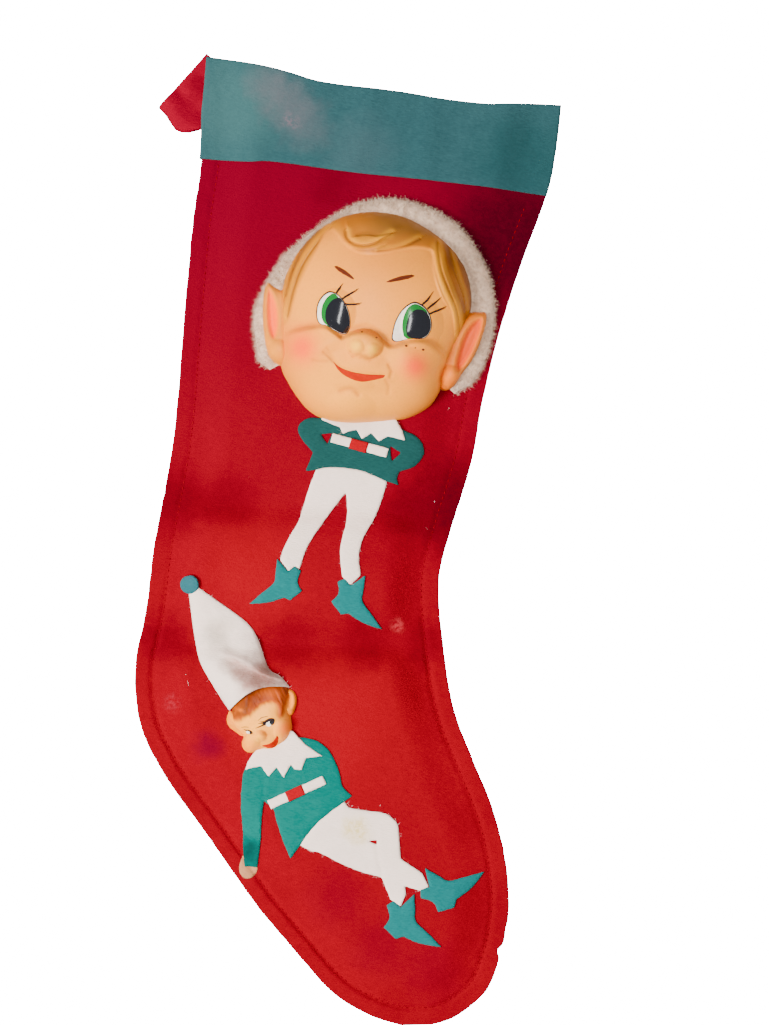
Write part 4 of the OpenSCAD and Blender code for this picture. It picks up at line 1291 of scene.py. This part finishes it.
def build_large_mask():
    skin = pigment(226, 172, 124)
    left = ear_part(
        [[56, -109.6], [53.4, -109], [50, -107.6], [47.2, -106.6], [46, -109.5], [45.7, -114],
         [46.1, -120], [47.2, -127], [48.6, -133], [50.2, -138.5], [52, -143], [55, -146],
         [58.5, -147.5], [62, -147], [63, -140], [61.5, -128], [60.5, -116]],
        (54, -126), TRIM_T + 0.5, 5, [
            [48, -109.4], [51, -112.4], [53.6, -117], [55.2, -123], [55.9, -129], [55, -134.5],
            [52.2, -134], [49.8, -129], [48.2, -122], [47.3, -115]],
        pigment(248, 152, 100), skin, (57.5, -140.5, 6, 2.8), 2.6)
    # The right ear's skin is painted darker than the left's: painted shade on the side away from the light.
    right = ear_part(
        [[144, -112], [149.6, -107.9], [154, -106.8], [157.4, -106.8], [158.2, -110], [158, -115],
         [156.7, -122], [154.8, -129], [152.5, -134.5], [150, -138.6], [148.2, -142.5], [146.2, -146],
         [142.8, -148.4], [139, -147], [137.5, -138], [139, -126], [141.5, -117]],
        (148.5, -126), TRIM_T + 0.5, 5, [
            [155.9, -109.6], [152.2, -111.4], [149, -116], [147, -122], [145.8, -129], [145.4, -135],
            [147.6, -138.4], [150.6, -135], [153.2, -129.5], [155.5, -122], [156.8, -114]],
        pigment(220, 117, 50), pigment(226, 158, 100), (144, -141, 5.6, 2.8), 2.6)
    head = (LARGE_CENTRE, LARGE_RADIUS, 150, 400, large_height, large_colour)
    obj = moulded("large_face", [head, left, right], LARGE_SEAT, VINYL)
    finish_piece(obj, "large_face_mask")


# ---------------------------------------------------------------- brushed paint on the masks

class Paint:
    """Collects thin shapes of paint that follow a mask's surface."""

    def __init__(self, height, seat, materials):
        self.height = height
        self.seat = seat
        self.materials = materials
        self.points = []
        self.faces = []
        self.slots = []

    def shape(self, loop, material, level, step=0.7):
        """A filled shape. Higher levels lie over lower ones."""
        flat, tri, _ = triangles_in(np.array(loop, float), (), step)
        x, z = flat.T
        y = self.seat + self.height(x, z) + 0.05 + 0.07 * level
        start = sum(len(p) for p in self.points)
        n = len(x)
        self.points.append(np.column_stack([x, -y, z]))
        self.points.append(np.column_stack([x, -(y - 0.12), z]))
        faces = [tuple(t + start) for t in tri] + [tuple(t[::-1] + start + n) for t in tri]
        faces += [(b + start, a + start, a + n + start, b + n + start) for a, b in rim_of(tri)]
        self.faces += faces
        self.slots += [self.materials.index(material)] * len(faces)

    def stroke(self, line, widths, material, level, steps=8):
        """A brush stroke with its width given along the line."""
        c = spline(line, steps)
        d = np.gradient(c, axis=0)
        side = np.column_stack([-d[:, 1], d[:, 0]]) / (np.linalg.norm(d, axis=1)[:, None] + 1e-9)
        s = np.linspace(0, 1, len(c))
        half = np.interp(s, np.linspace(0, 1, len(widths)), widths)[:, None] / 2
        self.shape(np.vstack([c + side * half, (c - side * half)[::-1]]), material, level, 0.5)

    def build(self, name):
        obj = make(name, drawn_in(np.vstack(self.points)), self.faces, self.materials, self.slots)
        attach(obj, "stocking")


def build_large_paint():
    paint_set = Paint(large_height, LARGE_SEAT, [EYE_WHITE, EYE_GREEN, EYE_BLACK, EYE_LINE, BROW_BROWN,
                                                 LASH_BLACK, LIP_RED, FRECKLE])
    left_eye = [[78.2, -108], [75.6, -110.4], [73.9, -114.2], [73.7, -118.4], [74.5, -121.8],
                [76.2, -123.9], [79.6, -124.4], [83.6, -126.2], [87.8, -127.3], [90, -126.2],
                [90.7, -122.2], [89.5, -117], [87, -112.6], [83.6, -109.3], [80.8, -108]]
    left_green = [[80, -108.2], [77.4, -110.9], [75.9, -114.6], [75.8, -118.6], [76.9, -122],
                  [78.7, -123.8], [82, -124.6], [84, -118], [83.4, -111], [82.2, -108.8]]
    left_black = [[83, -109.8], [79.9, -112], [78.1, -115.8], [78, -120], [79.2, -123.2],
                  [81, -124.9], [84.6, -126.4], [88, -127.2], [90, -126.1], [90.6, -122.2],
                  [89.4, -117.2], [87, -112.9], [85, -110.6]]
    right_eye = [[122, -107.2], [126.6, -109], [129.8, -113], [131.1, -118], [130, -122],
                 [127.4, -124.2], [121.6, -124.9], [117.6, -126.6], [114.8, -127.3], [113.1, -126.3],
                 [112.9, -122.6], [113.6, -117.4], [115.6, -112.4], [118.6, -108.8]]
    right_green = [[122, -107.6], [118.9, -109.4], [117.2, -113.2], [116.7, -118], [117.4, -122],
                   [119, -124.9], [123, -124.9], [127, -121], [128.4, -112], [126.4, -109.2]]
    right_black = [[123, -110.2], [120.2, -112.6], [118.9, -117], [119, -121], [120.4, -124.2],
                   [123.6, -124.9], [127.3, -124.2], [129.9, -122], [131, -118], [129.8, -113.4],
                   [127, -110.6]]
    for outline, green, black in ((left_eye, left_green, left_black), (right_eye, right_green, right_black)):
        eye = spline(outline, 5, closed=True)
        middle = eye.mean(axis=0)
        paint_set.shape(middle + (eye - middle) * 1.055 + np.array([-0.12, 0.12]), EYE_LINE, 0)
        paint_set.shape(eye, EYE_WHITE, 1)
        paint_set.shape(spline(green, 5, closed=True), EYE_GREEN, 2)
        paint_set.shape(spline(black, 5, closed=True), EYE_BLACK, 3)
    lashes = [
        [[81.8, -107.8], [82.8, -105.4], [84.6, -102.4]], [[85.2, -110.2], [88, -107.6], [92.8, -103.8]],
        [[86.6, -112.7], [90.6, -112.2], [95.2, -110.8]], [[125.2, -107.5], [127.4, -104.6], [129.9, -100]],
        [[128, -109.3], [130.6, -106.4], [134.4, -102.2]],
        [[129.2, -111.8], [132.6, -109.6], [137.8, -106.4]]]
    for line in lashes:
        paint_set.stroke(line, [1.0, 0.9, 0.6, 0.15], LASH_BLACK, 4, 6)
        paint_set.stroke([[line[0][0] + 0.3, line[0][1] + 0.4], [line[1][0] + 0.45, line[1][1] - 0.2],
                          [line[2][0] - 0.6, line[2][1] - 0.9]], [0.5, 0.4, 0.12], LASH_BLACK, 3, 6)
    for a, b, rise in (((79.2, -94.6), (89.7, -99.6), -1), ((119.2, -93.7), (106, -98.7), 1)):
        a, b = np.array(a), np.array(b)
        middle = (a + b) / 2 + np.array([0, 0.2])
        paint_set.stroke([a, middle, b], [0.5, 1.9, 2.1, 1.5, 0.3], BROW_BROWN, 1)
        for k in range(7):
            p = a + (b - a) * (0.08 + 0.11 * k)
            q = a + (b - a) * min(1.0, 0.36 + 0.11 * k)
            drift = np.array([0, 0.9 - 0.25 * k])
            paint_set.stroke([p + drift, (p + q) / 2 + drift * 0.6, q + drift * 0.1],
                             [0.15, 0.4, 0.15], BROW_BROWN, 2, 4)
    mouth = joined(spline([[85, -141.7], [88, -143.8], [92, -145.1], [97, -145.8], [103, -145.8],
                           [108, -145.3], [111.7, -144.9]], 4),
                   spline([[111.2, -146.3], [107, -148], [101, -149.8], [96, -149.4], [91, -147.6],
                           [87.4, -145]], 4))
    paint_set.shape(mouth, LIP_RED, 1)
    for x, z, r in ((97.2, -125.1, 0.42), (104.9, -126.9, 0.48), (120.2, -129, 0.6), (124.8, -129.4, 0.35),
                    (128.8, -129.7, 0.6)):
        a = np.arange(14) * 2 * math.pi / 14
        oval = np.column_stack([x + r * 1.15 * np.cos(a), z + r * 0.85 * np.sin(a)])
        paint_set.shape(oval, FRECKLE, 1, 0.4)
    paint_set.build("large_face_paint")


# ---------------------------------------------------------------- the small mask

SMALL_CENTRE = np.array([75.5, -322.5])
SMALL_HEAD = spline([
    [59, -322], [57.6, -317], [58.5, -311], [63, -306.5], [70, -303.5], [78, -302], [84, -303.6],
    [87.5, -308], [88.6, -315], [89.4, -321], [90.5, -326.8], [89, -332], [86, -335.8], [82.3, -338.2],
    [78, -339.3], [74.5, -340.5], [70.5, -341.7], [67.4, -340], [66.2, -337], [66.6, -333.8],
    [63, -331.5], [60, -328.5]], 5, closed=True)
SMALL_RADIUS = around(SMALL_HEAD, SMALL_CENTRE)
SMALL_DEPTH = length_of("small_face_mask", 1) - 2.5
SMALL_HAIRLINE = spline([
    [50, -326], [50, -300], [90, -295], [92.5, -303], [87, -311], [85.6, -316], [84.6, -320.6],
    [83, -320.8], [82.2, -317.6], [80.6, -315.2], [78, -314.8], [75.6, -315.6], [73, -317.2],
    [70.4, -320.4], [68, -323], [65, -325.2], [62.2, -326.4], [59.2, -326], [57, -323.5]],
    4, closed=True)


def small_height(x, z):
    """The small mask's height over its rim."""
    t = np.clip(share_out(x, z, SMALL_CENTRE, SMALL_RADIUS), 0, 1)
    h = SMALL_DEPTH * np.sqrt(np.clip(1 - t**2.4, 0, 1))
    h += swell(x, z, (70.6, -336.6), (5, 5), 1.5, 0.7)
    h += swell(x, z, (86.4, -328.2), (5.4, 6), 1.4, 0.8)
    h += swell(x, z, (75.2, -332.4), (3.4, 3.2), 2.2, 1.2)
    h += swell(x, z, (81.6, -338), (4, 3), 0.9, 1.1)
    h += swell(x, z, (79.6, -334.4), (5, 4), 0.6, 1.2)
    h -= 0.4 * bell(to_line(x, z, [[77.8, -337.1], [81.2, -336.6], [83.4, -334.4], [84, -331.6]]), 0.7)
    h -= swell(x, z, (78.4, -325.6), (3.6, 3), 0.5, 1.2) + swell(x, z, (68.6, -331.2), (2.8, 2.2), 0.4, 1.2)
    cover = depth_in(x, z, SMALL_HAIRLINE)
    h += 0.9 * smooth((cover + 0.8) / 2.4) + swell(x, z, (63.6, -321.4), (3, 2), 0.9, 0.9)
    h += 0.22 * noise(x + 0.6 * z, z * 0.35, 1.2, 5) * smooth(cover / 2)
    return h - 0.3 * bell(to_line(x, z, [[66, -314], [66.6, -318], [65.6, -321.5]]), 0.6)


def small_colour(x, z):
    """Sprayed skin, blush and hair of the small mask, with painted shade and painted highlights."""
    c = np.tile(pigment(244, 200, 168), (len(x), 1))
    t = share_out(x, z, SMALL_CENTRE, SMALL_RADIUS)
    c = blend_colour(c, pigment(244, 178, 146), 0.4 * smooth((t - 0.65) / 0.35))
    c = blend_colour(c, pigment(242, 190, 156), 0.7 * smooth((z + 320 + 0.4 * (75 - x)) / 7))
    c = blend_colour(c, pigment(252, 174, 150), 0.9 * bell(np.hypot(x - 87, z + 327), 4))
    c = blend_colour(c, pigment(250, 190, 150), 0.6 * bell(np.hypot(x - 70, z + 337.6), 3.4))
    # Painted shade: brown beside the nose.
    c = blend_colour(c, pigment(206, 120, 56), 0.6 * bell(np.hypot((x - 76.6) * 0.7, z + 330.8), 2))
    # Painted highlight: a light spot on the nose.
    c = blend_colour(c, pigment(244, 206, 160), 0.7 * bell(np.hypot(x - 74.4, z + 333.6), 1.3))
    c = blend_colour(c, pigment(214, 140, 88), 0.8 * bell(np.hypot((x - 85.2) * 0.7, z + 319), 3))
    cover = depth_in(x, z, SMALL_HAIRLINE)
    hair = np.tile(pigment(144, 58, 14), (len(x), 1))
    hair = blend_colour(hair, pigment(196, 108, 42), 0.75 * bell(cover, 1.8))
    hair = blend_colour(hair, pigment(190, 104, 40), 0.5 * smooth(noise(x, z * 0.5, 1.3, 3)))
    hair = blend_colour(hair, pigment(206, 122, 62), 0.85 * bell(np.hypot((x - 78.4) * 0.6, z + 310.6), 3))
    # Painted highlight: a light spot on the raised curl above the left ear.
    hair = blend_colour(hair, pigment(226, 152, 90), 0.6 * bell(np.hypot((x - 63.4) * 0.6, z + 320.8), 1.0))
    # Painted shade: a dark line in the moulded groove at the left of the hair.
    hair = blend_colour(hair, pigment(120, 46, 14), 0.6 * bell(x - 66.4, 1.2) * smooth((-312 - z) / 3))
    strand = 0.5 * noise(x + 0.5 * z, z * 0.3, 1.1, 5)
    return c + (hair - c) * smooth((cover + 1.8 + strand) / 3.0)[:, None]


SMALL_SEAT = PANEL_T + 0.9


def build_small_mask():
    skin = pigment(240, 184, 134)
    right = ear_part([[82.5, -308.4], [85, -306.6], [88, -306.9], [90.2, -309.3], [91, -312.8],
                      [90.6, -316.6], [89.4, -320], [86, -320.4], [83, -316]],
                     (86.6, -313), 3.5, 4, [[84.6, -309.6], [87.6, -308.8], [89.2, -312], [88.8, -316.4],
                                            [86.2, -316.8], [84.4, -313.4]],
                     pigment(236, 178, 126), skin, (87.6, -318.6, 2, 0.3), 1.5)
    left = ear_part([[58.2, -321], [56.8, -324.4], [57.3, -328], [59.5, -330.6], [63, -332.5],
                     [66.6, -334], [67.5, -331], [64, -326]],
                    (61.4, -327.6), 2, 3.4, [[58.6, -324], [59.2, -327.4], [61.8, -329.6], [64, -330.4],
                                             [62.4, -327.4]],
                    pigment(240, 190, 140), skin, (64.5, -332, 2, 0.2), 1.0)
    head = (SMALL_CENTRE, SMALL_RADIUS, 90, 220, small_height, small_colour)
    obj = moulded("small_face", [head, right, left], SMALL_SEAT, VINYL)
    finish_piece(obj, "small_face_mask")
    p = Paint(small_height, SMALL_SEAT, [EYE_WHITE, EYE_BLACK, LASH_BLACK, BROW_BROWN, LIP_RED])
    p.shape(spline([[76.6, -325.6], [77.6, -324.7], [79.2, -324.2], [80.1, -324.8], [79.9, -326],
                    [78.9, -327], [77.5, -326.8]], 5, closed=True), EYE_WHITE, 1, 0.35)
    p.stroke([[75.8, -326.2], [76.8, -324.8], [78.6, -323.6], [80.4, -323.4], [80.7, -324.8]],
             [0.9, 1.3, 1.5, 1.2, 0.6], LASH_BLACK, 2)
    p.shape(spline([[78.6, -324.2], [79.8, -323.6], [80.9, -324.2], [80.9, -325.4], [80, -326.1],
                    [79, -325.5]], 5, closed=True), EYE_BLACK, 2, 0.3)
    for line in ([[77, -325.4], [75, -325.9], [73, -326.4]], [[77, -326], [75, -327.2], [73.4, -328.2]],
                 [[76, -326.4], [74, -327.8], [72, -328.8]], [[76.6, -325], [75, -325.2], [73.6, -325.4]]):
        p.stroke(line, [0.8, 0.5, 0.12], LASH_BLACK, 2, 4)
    p.stroke([[72.8, -325], [74.4, -323.2], [77.4, -322]], [0.12, 0.35, 0.2], BROW_BROWN, 1, 5)
    p.shape(spline([[67.6, -331.2], [68.6, -330.7], [69.8, -331.1], [69.6, -331.9], [68.4, -332]], 5,
                   closed=True), EYE_WHITE, 1, 0.3)
    p.stroke([[66.4, -330.2], [67.6, -330.5], [68.8, -330.4], [70.2, -330.9], [71.2, -331.6]],
             [0.2, 0.5, 0.6, 0.9, 0.3], LASH_BLACK, 2)
    p.shape(spline([[69.6, -330.8], [70.6, -331.1], [70.6, -332], [69.7, -332]], 5, closed=True),
            EYE_BLACK, 2, 0.3)
    p.stroke([[65, -329.5], [66.8, -328.9], [68.8, -328.8]], [0.12, 0.3, 0.15], BROW_BROWN, 1, 5)
    mouth = joined(spline([[76.4, -337], [79.6, -335.7], [81.8, -334], [83.2, -331]], 4),
                   spline([[84.2, -331.8], [84.2, -334.4], [82.8, -336.8], [79.8, -337.8]], 4))
    p.shape(mouth, LIP_RED, 1, 0.4)
    p.build("small_face_paint")


# ---------------------------------------------------------------- plush hood trim

HOOD_OUTER = [
    [50, -151.5], [47, -148], [45, -141], [42, -130], [41.6, -121], [44.6, -110], [49.2, -100],
    [52, -93.5], [58, -87], [62.5, -81.4], [67, -77.4], [74, -70.4], [79, -66.4], [85, -62.2],
    [95, -58.2], [107.5, -56.4], [120, -57.8], [130, -61], [140, -66], [149.5, -75], [156, -84],
    [161, -95], [163.5, -110], [163, -122], [161, -133], [157, -142], [152, -149]]


def hood_point(a, v):
    """A point on the trim: a is the angle round the face, v runs over the pile from 0 to 1."""
    outer = around(spline(HOOD_OUTER, 6), LARGE_CENTRE)(a) - 1.6 - 1.2 * bell(np.degrees(a) - 35, 30)
    inner = LARGE_RADIUS(a) - 4
    turn = np.where(a < -math.pi / 2, a + 2 * math.pi, a)
    ends = smooth((math.radians(216) - turn) / 0.16) * smooth((turn + math.radians(34)) / 0.16)
    r = inner + (outer - inner) * (0.5 - 0.5 * np.cos(math.pi * v))
    r = r + (outer - inner) * 0.15 * (ends - 1)
    x = LARGE_CENTRE[0] + r * np.cos(a)
    z = LARGE_CENTRE[1] + r * np.sin(a)
    lumps = 0.8 * noise(x, z, 3.2, 7) + 0.5 * noise(x, z, 1.3, 8)
    h = (TRIM_T + lumps) * np.sin(math.pi * v) ** 0.6 * (0.35 + 0.65 * ends)
    return x, -(PANEL_T + 0.6 * np.maximum(relief(x, z), 0) + h), z


PILE_HAIRS = 26000


def build_hood():
    angles = np.radians(np.linspace(215.5, -33.5, 420))
    v = np.linspace(0, 1, 22)
    a, v = np.meshgrid(angles, v, indexing="ij")
    turn = np.arctan2(np.sin(a), np.cos(a))
    x, y, z = hood_point(turn, v)
    n, m = x.shape
    top = np.column_stack([x.ravel(), y.ravel(), z.ravel()])
    low = top.copy()
    low[:, 1] = -PANEL_T + 0.2
    ring = border(n, m)
    faces = grid_faces(n, m) + [tuple(reversed(f)) for f in grid_faces(n, m, n * m)]
    for k, (i, j) in enumerate(ring):
        i2, j2 = ring[(k + 1) % len(ring)]
        p, q = i * m + j, i2 * m + j2
        faces.append((q, p, p + n * m, q + n * m))
    obj = make("large_hood_plush", np.vstack([top, low]), faces, [PLUSH])
    finish_piece(obj, "large_hood_trim")

    count = PILE_HAIRS
    a = np.radians(RANDOM.uniform(-33, 215, count))
    a = np.arctan2(np.sin(a), np.cos(a))
    v = RANDOM.uniform(0.3, 1.0, count) ** 0.8
    root = np.column_stack(hood_point(a, v))
    radial = np.column_stack([np.cos(a), np.zeros(count), np.sin(a)])
    lift = np.column_stack([np.zeros(count), -np.sin(math.pi * v) - 0.15, np.zeros(count)])
    way = radial * (v[:, None] - 0.35) * 1.3 + lift + RANDOM.normal(0, 0.55, (count, 3))
    way /= np.linalg.norm(way, axis=1)[:, None]
    pile = strands("large_hood_pile", root, way, RANDOM.uniform(1.0, 3.0, (count, 1)),
                   RANDOM.uniform(0.03, 0.07, (count, 1)), PLUSH)
    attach(pile, "stocking")


# ---------------------------------------------------------------- the small hat

HAT_RIBS = np.array([
    [[29.6, -265], [33.6, -262.6]], [[33, -277.5], [44, -268]], [[36.3, -289], [60, -276.8]],
    [[40.5, -299.5], [67, -284.5]], [[47.5, -309], [74.2, -297.6]], [[54.2, -317], [80.5, -300.8]],
    [[58, -321.3], [86.2, -305.6]]])


def build_hat():
    """One bowed sheet of felt from the tip to the brim, with its soft dent."""
    left = spline(HAT_RIBS[:, 0], 12)
    right = spline(HAT_RIBS[:, 1], 12)
    n, m = len(left), 50
    t = np.linspace(0, 1, n)[:, None]
    u = np.linspace(0, 1, m)[None, :]
    x = left[:, :1] * (1 - u) + right[:, :1] * u
    z = left[:, 1:] * (1 - u) + right[:, 1:] * u
    sag = 4.6 * t**4 * np.sin(math.pi * u)
    x = x - 0.45 * sag
    z = z + sag
    bow = np.sin(math.pi * u) ** 0.62
    height = (1.4 + 8.6 * smooth((t - 0.12) / 0.85)) * bow
    fold = side_of(x, z, [[40, -294.2], [50, -294.9], [57.8, -296], [64.9, -298.4], [71.3, -301.3],
                          [76.3, -302.3], [84, -303]])
    under = smooth((0.7 - fold) / 1.0) * bell(np.minimum(fold, 0), 6)
    height = height - 3.4 * under * smooth((x - 47) / 12) * bow
    height = height + 1.2 * bell(fold - 1.5, 2.5) * smooth((x - 45) / 10) * bow
    height = height - 1.2 * bell(np.hypot(x - 48, z + 286), 6) * bow
    height += (0.5 * noise(x, z, 9, 13) + 0.25 * noise(x, z, 4, 14)) * bow
    height = height - 0.9 * bell(x - 60 - 0.4 * (z + 285), 4) * bow * smooth((t - 0.3) * 3)
    base = PANEL_T + np.maximum(relief(x, z), 0) * 0.9
    front = np.stack([x, -(base + height + FELT_T), z], axis=-1)
    back = np.stack([x, -(base + height), z], axis=-1)
    obj = sheet_between("small_hat_felt", front, back, [WHITE_FELT])
    finish_piece(obj, "small_hat")
    a = np.arange(40) * 2 * math.pi / 40
    disc = np.column_stack([29.7 + 4.7 * np.cos(a), -262.1 + 4.6 * np.sin(a)])
    pompon = felt_piece("small_hat_pompon", disc, POMPON_FELT, layer=1.6, sheet=False, step=0.9)
    size, area = best_rectangle(np.vstack([left, right[::-1]]))
    brim = np.vstack([left[::6], np.column_stack([x[-1], z[-1]])[::6], right[::-6]])
    stray_fibres("hat_stray_fibres", [brim], 260)


build_camera()
build_lights()
build_stage()
build_front_panel()
build_back_panel()
build_cuff()
build_stitching()
build_loop()
build_tack()
build_large_clothes()
build_small_clothes()
build_large_mask()
build_large_paint()
build_small_mask()
build_hood()
build_hat()
build_lint()
